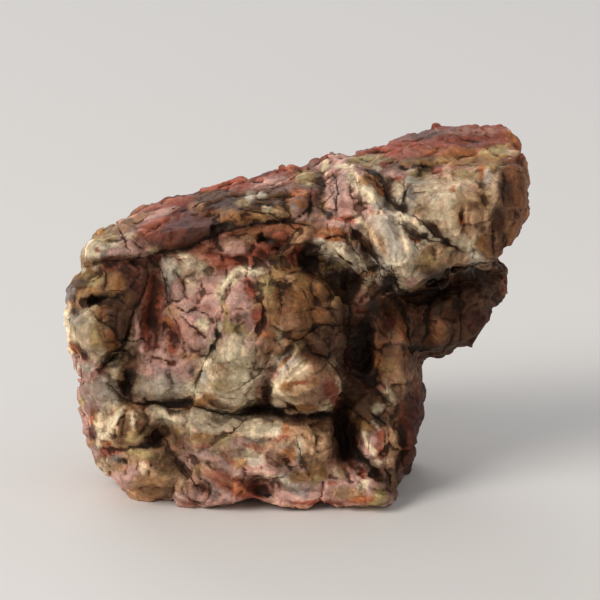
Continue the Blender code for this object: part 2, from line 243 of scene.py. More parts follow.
def fringe(at: Place, start: float, end: float, inner: float, outer: float, count: int) -> tuple[Fold, ...]:
    """Draws a fan of black bristles round a place.

    Args:
        at: The fan's middle on the front's drawing.
        start: The first bristle's direction, in degrees anticlockwise from the right.
        end: The last bristle's direction.
        inner: How far from the middle the bristles start.
        outer: How far from the middle they end, more or less.
        count: How many there are.

    Returns:
        The bristles, as thin folds.
    """
    bristles = []
    for n in range(count):
        way = math.radians(start + (end - start) * n / (count - 1))
        tip = outer * (0.8 + 0.2 * math.cos(2.4 * n))
        path = [(at[0] + reach * math.cos(way + turn), at[1] - reach * math.sin(way + turn))
                for reach, turn in ((inner, 0.0), ((inner + tip) / 2, 0.06), (tip, 0.0))]
        bristles.append(Fold(tuple(path), 0.9, -0.25, 1.0))
    return tuple(bristles)


FRINGES = (
    *fringe((306, 258), -40, 38, 7, 25, 9), *fringe((345, 286), 40, 150, 9, 19, 7),
    *fringe((378, 288), 35, 165, 12, 24, 9),
)

FOLDS = FRINGES + folds(Side.FRONT,
    ((358, 278, 366, 269, 378, 265, 390, 271, 397, 284), 3.4, -1.2, 1),
    ((84, 268, 95, 265, 106, 262, 120, 259, 135, 258, 150, 257, 160, 252, 182, 249, 198, 243, 212, 237,
     225, 231, 240, 226, 258, 223, 280, 222, 303, 222, 312, 226), 1.5, -1.2, 1, 0.9),
    ((119, 229, 122, 236, 126, 242, 129, 249), 2, -1, 0.9), ((104, 267, 106, 278, 104, 290), 2.5, -0.7, 0.7),
    ((111, 290, 118, 289, 124, 292), 1.6, -0.6, 0.8),
    ((110, 297, 117, 298, 123, 301, 127, 306), 1.6, -0.6, 0.8),
    ((93, 313, 98, 321, 105, 325, 111, 326, 115, 332, 119, 341, 123, 343), 2, -0.8, 0.9),
    ((136, 306, 132, 314, 129, 325, 127, 336, 123, 346, 115, 355, 107, 362, 101, 370), 3.4, -2.6, 1, -0.5),
    ((148, 258, 158, 266, 164, 277, 167, 289, 168, 303), 1.4, -0.9, 1),
    ((147, 262, 148, 275, 145, 290, 140, 304), 1.4, -0.9, 0.9),
    ((153, 317, 156, 327, 157, 342, 154, 352), 2.4, -0.8, 0.5),
    ((144, 303, 140, 318, 138, 334, 136, 349), 2.4, 0.9), ((163, 310, 162, 325, 159, 342), 3.5, 1),
    ((165, 301, 173, 304, 182, 310, 192, 311, 201, 312, 208, 316, 214, 322, 217, 328), 1.2, -0.5, 0.5),
    ((169, 310, 176, 322, 181, 334, 184, 346, 186, 357), 1.4, -0.7, 0.4),
    ((182, 318, 190, 326, 200, 333, 208, 341), 1.6, -0.8, 0.4),
    ((217, 320, 218, 329, 219, 338, 214, 345, 211, 352, 207, 358), 2.6, -1.4, 1),
    ((206, 360, 203, 369, 200, 378, 195, 386, 192, 393), 1.6, -0.8, 0.6),
    ((232, 392, 240, 387, 248, 382, 256, 376, 262, 369, 268, 361), 1, -0.7, 1),
    ((260, 273, 249, 270, 238, 271, 229, 279, 222, 288, 219, 298), 4.6, 1.3),
    ((219, 297, 225, 306, 229, 316, 228, 325, 224, 333), 2.4, 0.9),
    ((232, 284, 228, 292, 228, 300), 1.4, -0.5, 0.5), ((220, 291, 222, 301, 219, 308), 1, -0.5, 0.5),
    ((247, 282, 252, 292, 258, 303, 262, 315, 257, 326, 249, 333), 4.2, 1.2),
    ((266, 276, 266, 286, 262, 296), 3, 0.7),
    ((268, 268, 270, 280, 277, 287, 288, 286, 295, 279), 1.4, -0.8, 0.8),
    ((255, 276, 260, 287, 261, 297), 1.2, -0.6, 0.7),
    ((262, 300, 263, 312, 262, 322, 266, 330), 2, -1.1, 0.8),
    ((312, 276, 311, 290, 316, 302, 326, 308, 337, 309), 1.3, -0.8, 0.9),
    ((319, 273, 328, 283, 332, 296, 331, 307), 1.3, -0.8, 0.8),
    ((331, 311, 334, 318, 338, 322), 1, -0.5, 0.8),
    ((283, 336, 291, 340, 300, 340, 306, 335, 316, 328, 326, 324, 336, 327, 346, 325), 1.6, -1.1, 0.9),
    ((308, 345, 312, 353, 320, 357, 329, 358), 2, -1.3, 1), ((279, 290, 282, 302, 280, 313), 1.6, -0.9, 0.8),
    ((300, 288, 306, 296, 309, 304), 1, -0.4, 0.7), ((298, 313, 306, 310, 315, 308, 324, 311), 1, -0.4, 0.6),
    ((345, 283, 349, 300, 350, 318, 347, 333, 346, 350), 2.2, -1.6, 1),
    ((331, 363, 337, 370, 341, 379, 343, 388), 1.6, -1.2, 0.9),
    ((303, 346, 294, 353, 285, 362, 276, 374), 5.5, 1.3),
    ((316, 363, 304, 368, 293, 376, 283, 386), 3.4, 0.8),
    ((310, 356, 300, 363, 291, 371, 283, 380), 1.2, -0.5, 0.3),
    ((275, 384, 271, 397, 278, 407, 292, 413), 3, 0.8),
    ((110, 386, 116, 391, 122, 398, 130, 402, 145, 403, 160, 402, 172, 404, 186, 402), 2.6, -1.7, 1, 0.4),
    ((166, 409, 176, 413, 182, 411), 2, -1.4, 0.9),
    ((186, 402, 196, 406, 208, 409, 222, 413, 236, 416, 245, 413, 255, 408, 266, 406, 276, 409, 284, 415,
     292, 417, 303, 416, 316, 415, 330, 413), 2.6, -2, 1, 0.4),
    ((247, 416, 241, 424, 235, 430, 227, 434, 216, 437), 1.3, -0.9, 0.9),
    ((352, 420, 351, 433, 353, 446, 359, 455, 368, 462, 374, 471), 3, -2, 1),
    ((124, 407, 118, 416, 111, 425, 107, 434), 2.6, 1), ((131, 409, 132, 418, 135, 430), 2.6, 1),
    ((99, 424, 98, 436, 98, 447), 2.6, 0.8), ((127, 412, 124, 424, 122, 436), 2.4, -0.9, 0.3),
    ((163, 436, 170, 448, 178, 460, 184, 469, 190, 478, 196, 486), 2, -1.6, 0.9, 0.5),
    ((100, 449, 112, 450, 124, 449, 136, 447, 150, 447), 1.8, -1.2, 0.6, 0.3),
    ((296, 439, 299, 449, 303, 460, 307, 472), 1.2, -0.6, 0.8),
    ((288, 437, 297, 434, 306, 438, 313, 445), 2, -0.6, 0.2),
    ((204, 468, 218, 476, 234, 484, 250, 494, 262, 503), 5, 0.9),
    ((208, 480, 210, 490, 206, 502), 2, -0.9, 0.6), ((352, 227, 361, 240, 369, 251, 377, 262), 5, -2, 0.9),
    ((348, 236, 355, 248, 361, 260, 367, 270), 2.4, 0.9),
    ((360, 222, 369, 234, 379, 248, 388, 262), 3.4, 1.2),
    ((396, 208, 402, 220, 406, 236, 410, 252, 411, 266), 3.4, 1),
    ((376, 222, 380, 236, 387, 250, 392, 262), 1.4, -0.5, 0.15),
    ((387, 206, 396, 216, 402, 229, 407, 243, 409, 257, 404, 272), 3.6, 1.4),
    ((400, 214, 407, 226, 413, 238, 418, 250), 1.6, -0.9, 0.4),
    ((333, 172, 330, 186, 334, 200, 338, 214), 3, -0.9, 0.5),
    ((352, 172, 356, 184, 360, 196, 360, 206), 1.6, -0.9, 0.4),
    ((376, 172, 382, 180, 386, 190, 389, 200, 396, 208, 404, 211), 3, -1.6, 1),
    ((358, 168, 366, 171, 375, 176, 381, 184), 1.6, -0.9, 0.8),
    ((411, 214, 420, 220, 428, 228, 436, 236, 446, 238), 1.8, -1, 0.8),
    ((398, 222, 406, 228, 414, 235, 424, 239, 436, 242, 446, 243), 2.2, -1.2, 0.9, 0.3),
    ((445, 241, 452, 245, 459, 250), 2.2, -1.2, 1),
    ((404, 205, 403, 196, 407, 188, 413, 185), 1.4, -0.8, 0.9),
    ((412, 194, 420, 193, 428, 192), 1.2, -0.4, 0.8),
    ((336, 178, 338, 190, 336, 203, 337, 214), 1.6, -1, 0.9),
    ((314, 180, 311, 192, 312, 204, 308, 216), 2, -1.2, 0.9),
    ((337, 217, 345, 219, 353, 218, 360, 213), 1.4, -0.7, 0.3),
    ((351, 173, 349, 186, 352, 200, 357, 212), 1.3, -0.6, 0.5), ((337, 164, 343, 163, 350, 166), 2.6, 0.7),
    ((400, 169, 412, 167, 424, 166, 432, 166), 1.4, -0.6, 0.9),
    ((432, 168, 438, 176, 442, 184), 1.4, -0.6, 0.3), ((491, 170, 498, 182, 500, 196, 494, 208), 2.4, 0.8),
    ((503, 172, 504, 184, 501, 196, 504, 206), 1.6, -0.9, 0.7),
    ((471, 213, 476, 226, 475, 238, 468, 246), 2.2, 0.8), ((463, 210, 463, 218, 459, 228), 1.2, -0.5, 0.35),
    ((392, 268, 396, 280, 400, 292, 410, 295, 422, 292, 430, 286, 438, 279, 446, 273, 458, 268, 472, 265,
     486, 262, 500, 262), 3, -2.2, 1, 0.6), ((470, 262, 474, 254, 472, 246), 1.4, -0.8, 0.6),
    ((490, 222, 494, 236, 492, 250, 496, 258), 1.8, -1, 0.6),
    ((505, 235, 506, 247, 503, 256), 1.6, -0.9, 0.5),
    ((430, 300, 427, 316, 428, 332, 422, 345), 2, -1.2, 0.7),
    ((458, 290, 459, 306, 462, 322, 460, 338), 1.8, -1.1, 0.7),
    ((412, 350, 424, 348, 436, 351), 2.2, -1.2, 0.8),
    ((405, 316, 408, 330, 410, 344, 414, 358), 2, -1.2, 0.7),
    ((400, 300, 404, 312, 410, 322), 1.6, -0.9, 0.6), ((377, 391, 384, 398, 391, 403), 1.6, -1, 1),
    ((370, 412, 378, 419, 386, 424), 2.4, -1.2, 1),
    ((384, 430, 384, 444, 388, 458, 385, 468), 1.4, -0.8, 0.4),
    ((366, 432, 371, 441, 369, 452), 1.4, -0.9, 0.5),
    ((400, 426, 404, 440, 402, 456, 404, 472, 402, 486), 1.8, -1.1, 0.6),
    ((385, 468, 391, 476, 390, 488), 2.2, -1.2, 0.9), ((345, 462, 346, 474, 350, 484), 1.4, -0.8, 0.6),
    ((360, 466, 363, 478, 361, 488), 1.4, -0.7, 0.4), ((209, 236, 210, 224, 214, 214, 222, 210), 2.2, 0.9),
    ((218, 232, 217, 222, 221, 214), 2, 0.8), ((246, 223, 242, 215, 235, 210, 226, 209), 2.2, 0.9),
    ((214, 233, 213, 223, 217, 215), 1.4, -0.8, 0.6), ((236, 224, 232, 217, 226, 213), 1.4, -0.7, 0.5),
    ((190, 215, 198, 213, 205, 216), 1.6, -0.6, 0.6), ((165, 226, 172, 232, 171, 241), 2, -0.7, 0.3),
    ((150, 216, 165, 211, 180, 208, 192, 202), 2.6, -0.7, 0.2),
    ((240, 208, 252, 212, 266, 213, 278, 218, 286, 222), 2, -0.9, 0.9),
    ((245, 204, 256, 206, 268, 203, 278, 207), 1.8, -0.7, 0.7),
    ((288, 189, 283, 199, 287, 210, 292, 219), 1.6, -0.8, 0.7),
    ((303, 224, 296, 232, 288, 240, 280, 247), 1.4, -0.7, 0.5),
    ((345, 234, 350, 243, 357, 252, 362, 262), 1.6, -0.8, 0.8),
    ((321, 241, 330, 236, 341, 236, 350, 242), 1.6, -0.7, 0.6),
    ((320, 272, 330, 269, 340, 264, 349, 262), 1.8, 0.6),
    ((199, 268, 205, 275, 214, 277, 220, 274), 1, -0.4, 0.6),
    ((216, 240, 218, 247, 222, 252), 1.2, -0.5, 0.8), ((224, 262, 228, 270, 226, 278), 1.2, -0.5, 0.5),
    ((252, 258, 258, 264, 252, 270, 245, 268), 1.2, -0.5, 0.7),
    ((202, 282, 203, 290, 201, 297), 1.2, -0.4, 0.4),
    ((161, 258, 168, 256, 176, 258, 182, 262), 1.4, -0.5, 0.6),
    ((140, 460, 136, 468, 140, 476), 1.2, -0.5, 0.4), ((150, 460, 152, 468, 149, 476), 1.2, -0.5, 0.4),
    ((178, 478, 174, 488, 170, 500), 1.6, -0.8, 0.5),
    ((400, 147, 415, 145, 430, 143, 445, 144, 460, 147), 2, -0.5, 0.3),
    ((418, 139, 430, 136, 442, 132), 2, -0.5, 0.6), ((460, 139, 472, 142, 484, 140), 2, -0.5, 0.6),
    ((445, 158, 465, 157, 485, 158, 500, 154), 1.6, -0.5, 0.2)
) + folds(Side.BACK,
    ((248, 214, 276, 226, 310, 224, 352, 230, 398, 244, 440, 252, 486, 266, 536, 282), 2, -1.8, 1, 0.9),
    ((70, 300, 100, 316, 140, 322, 182, 316, 214, 300, 236, 270, 250, 236), 3, -2.2, 1, 0.6),
    ((184, 404, 226, 416, 268, 406, 310, 412, 352, 420, 400, 410, 452, 396, 500, 402, 536, 396), 2.6, -2.2,
     1, 0.6), ((286, 236, 278, 268, 288, 300, 280, 338, 290, 372, 284, 402), 5, 1.4),
    ((302, 236, 296, 270, 306, 302, 300, 340, 310, 376), 2, -1.6, 0.9),
    ((240, 262, 232, 296, 240, 330, 230, 366, 236, 398), 4, 1.2),
    ((222, 300, 218, 336, 226, 370, 220, 400), 1.8, -1.4, 0.8),
    ((352, 240, 362, 268, 356, 296, 364, 330, 352, 362, 360, 396), 1.8, -1.4, 0.9),
    ((376, 300, 396, 292, 418, 300, 436, 318, 440, 342), 1.4, -0.8, 0.6),
    ((380, 356, 402, 350, 424, 360, 440, 378), 1.4, -0.8, 0.6),
    ((456, 280, 462, 312, 454, 344, 462, 380), 2, -1.6, 0.9),
    ((472, 300, 488, 312, 506, 310, 522, 322), 1.4, -0.8, 0.6),
    ((98, 190, 130, 206, 168, 200, 204, 214, 238, 208), 1.8, -1, 0.7),
    ((92, 250, 126, 262, 160, 254, 196, 268), 1.6, -0.9, 0.6),
    ((160, 206, 154, 232, 164, 256, 156, 284, 166, 312), 1.6, -1, 0.7),
    ((290, 176, 330, 190, 372, 192, 416, 208, 460, 214), 2.2, -1, 0.6),
    ((310, 208, 350, 212, 392, 226), 3, 0.9), ((262, 424, 258, 450, 268, 478, 262, 502), 1.8, -1.2, 0.8),
    ((320, 424, 352, 434, 388, 430, 420, 440), 1.6, -0.9, 0.6),
    ((316, 470, 350, 464, 384, 476, 416, 470), 4, 1),
    ((430, 414, 436, 440, 428, 466, 434, 496), 1.8, -1.2, 0.8),
    ((452, 452, 480, 446, 510, 456), 1.4, -0.7, 0.5)
) + folds(Side.LEFT,
    ((160, 262, 204, 272, 248, 264, 296, 270, 340, 262, 384, 266), 2.2, -1.8, 1, 0.8),
    ((164, 392, 210, 402, 256, 396, 300, 408, 346, 400, 392, 406), 2.4, -2.2, 1, 0.6),
    ((300, 276, 292, 308, 302, 340, 294, 372, 300, 402), 2, -1.8, 0.9),
    ((206, 276, 200, 304, 210, 332, 204, 362, 212, 392), 1.8, -1.3, 0.8),
    ((222, 300, 244, 292, 268, 300, 284, 318), 1.4, -0.8, 0.5),
    ((226, 350, 250, 344, 274, 356), 1.4, -0.8, 0.5),
    ((284, 412, 290, 440, 282, 468, 288, 494), 2, -1.5, 0.9),
    ((190, 436, 222, 430, 256, 440), 1.4, -0.8, 0.5), ((312, 452, 344, 444, 380, 452), 1.6, -0.8, 0.6),
    ((196, 216, 240, 224, 286, 214, 330, 222), 2, -1, 0.6)
) + folds(Side.RIGHT,
    ((176, 276, 220, 290, 264, 284, 310, 292, 356, 284, 410, 290), 3, -2.2, 1, 0.5),
    ((212, 380, 256, 372, 300, 384, 346, 376, 396, 384), 2.6, -2, 1, 0.5),
    ((318, 150, 310, 184, 320, 216, 312, 250, 320, 284), 2, -1.6, 0.9),
    ((212, 190, 240, 182, 270, 190, 300, 184), 1.4, -0.8, 0.5),
    ((216, 240, 250, 246, 286, 238), 1.6, -0.9, 0.6), ((336, 200, 362, 192, 392, 202), 1.4, -0.8, 0.5),
    ((340, 246, 370, 252, 402, 244), 1.4, -0.8, 0.5),
    ((310, 296, 304, 322, 314, 350, 308, 376), 1.8, -1.3, 0.8),
    ((334, 388, 328, 416, 338, 446, 332, 480), 2, -1.6, 0.9),
    ((258, 396, 270, 424, 262, 454, 270, 484), 4, 1.1), ((246, 400, 252, 430, 246, 462), 1.6, -1, 0.7)
) + folds(Side.TOP,
    ((344, 176, 330, 220, 338, 262, 326, 306, 334, 350, 322, 396), 2.6, -1.8, 0.9, 0.5),
    ((360, 250, 402, 256, 446, 246, 492, 252, 524, 244), 2, -1, 0.7),
    ((356, 316, 400, 310, 448, 318, 500, 308), 2, -0.9, 0.5), ((372, 282, 420, 286, 474, 278), 3.6, 0.9),
    ((100, 290, 146, 282, 194, 290, 244, 280, 300, 288), 2, -1.1, 0.7),
    ((96, 330, 150, 322, 206, 334, 262, 324, 312, 330), 3.6, 1),
    ((116, 246, 162, 252, 212, 242, 262, 252, 304, 244), 2, -1, 0.6),
    ((214, 204, 222, 234, 214, 266, 222, 296), 1.6, -1, 0.6)
)

# Smooth places: how far the overall relief is held back there, from 0 to 1.
QUIETS = drawn(Oval, Side.FRONT,
    (185, 232, 44, 17, 0.95, 20), (170, 212, 32, 10, 0.8, 20), (95, 285, 30, 22, 0.75),
    (85, 335, 22, 26, 0.7), (152, 305, 12, 46, 0.9), (205, 292, 24, 20, 0.8), (240, 245, 50, 14, 0.6, 12),
    (308, 308, 38, 32, 0.6), (240, 352, 22, 18, 0.75), (308, 388, 36, 30, 0.65), (222, 385, 30, 28, 0.8),
    (262, 425, 56, 14, 0.75), (236, 485, 42, 16, 0.9, -26), (140, 485, 44, 20, 0.85),
    (392, 240, 24, 36, 0.95), (512, 205, 22, 56, 0.75), (337, 252, 32, 17, 1, -38), (372, 198, 18, 12, 0.85),
    (345, 195, 14, 30, 0.85), (447, 206, 48, 36, 0.85), (366, 192, 18, 12, 0.9, -25),
    (420, 268, 34, 16, 0.7, -10), (450, 148, 84, 20, 0.7), (393, 360, 14, 44, 0.7), (175, 338, 30, 30, 0.6),
    (300, 490, 30, 16, 0.8), (90, 400, 16, 20, 0.7), (110, 440, 24, 20, 0.6), (150, 214, 46, 14, 0.9, 22),
    (100, 240, 18, 16, 0.7), (300, 388, 34, 24, 0.85), (345, 480, 30, 16, 0.5)
) + drawn(Oval, Side.BACK,
    (150, 240, 70, 56, 0.9), (405, 325, 50, 46, 0.9), (262, 320, 40, 66, 0.9), (488, 335, 30, 50, 0.8),
    (350, 458, 70, 30, 0.85), (236, 460, 34, 36, 0.8), (470, 452, 44, 34, 0.8), (370, 206, 100, 20, 0.85, -10)
) + drawn(Oval, Side.LEFT,
    (248, 325, 50, 50, 0.9), (340, 300, 34, 36, 0.8), (232, 452, 50, 36, 0.85), (350, 452, 46, 34, 0.8),
    (260, 225, 80, 26, 0.7)
) + drawn(Oval, Side.RIGHT,
    (262, 210, 52, 56, 0.9), (368, 220, 42, 56, 0.85), (290, 330, 90, 36, 0.8), (300, 440, 80, 50, 0.85)
) + drawn(Oval, Side.TOP,
    (440, 280, 90, 70, 0.85), (210, 300, 110, 70, 0.75)
)

# Dark films, partly old grime and partly painted shade on shaded places: how deep they are, from 0 to 1.
GRIME_AND_SHADE_FILMS = drawn(Oval, Side.FRONT,
    (185, 232, 46, 20, 0.9, 18), (222, 222, 34, 14, 0.6, 10), (285, 205, 40, 14, 0.2),
    (128, 290, 18, 34, 0.6), (150, 318, 12, 34, 0.5, -4), (310, 315, 42, 36, 0.6), (455, 146, 80, 16, 0.35),
    (365, 345, 34, 62, 1), (450, 315, 60, 44, 1), (512, 205, 20, 60, 1), (312, 268, 14, 16, 0.7),
    (350, 288, 20, 14, 0.7), (175, 335, 16, 26, 0.5), (264, 396, 10, 16, 0.7), (345, 440, 16, 44, 1),
    (414, 440, 16, 56, 0.8), (384, 480, 18, 22, 0.4), (165, 438, 20, 18, 0.6), (128, 384, 14, 28, 0.8),
    (113, 324, 18, 26, 1), (270, 246, 26, 12, 0.5), (262, 362, 8, 20, 0.4), (314, 375, 24, 14, 0.4),
    (430, 262, 24, 18, 0.4), (432, 200, 20, 34, 0.35), (472, 210, 22, 34, 0.8), (376, 237, 12, 26, 0.6, 30),
    (452, 176, 42, 13, 0.5), (310, 392, 30, 20, 0.8), (92, 330, 24, 32, 0.35), (482, 200, 20, 18, 0.35),
    (255, 490, 24, 14, 0.6), (284, 302, 14, 20, 0.8), (316, 355, 18, 14, 1), (405, 358, 14, 16, 0.8),
    (496, 240, 20, 24, 0.9), (205, 208, 44, 12, 0.6, 14)
) + drawn(Oval, Side.BACK,
    (370, 208, 110, 22, 0.7, -10), (405, 325, 50, 46, 0.5), (208, 345, 16, 44, 0.9), (330, 372, 20, 30, 1),
    (200, 250, 36, 50, 0.5), (292, 452, 12, 34, 0.8), (490, 300, 40, 30, 0.4)
) + drawn(Oval, Side.LEFT,
    (300, 350, 14, 50, 0.9), (248, 322, 48, 44, 0.4), (290, 445, 12, 40, 0.8), (200, 390, 44, 14, 0.8)
) + drawn(Oval, Side.RIGHT,
    (300, 330, 110, 44, 0.9), (316, 215, 14, 60, 0.8), (262, 440, 60, 60, 0.7), (370, 215, 44, 60, 0.4)
) + drawn(Oval, Side.TOP,
    (330, 300, 18, 110, 0.7, 10), (230, 300, 110, 60, 0.6), (440, 250, 90, 30, 0.3)
)

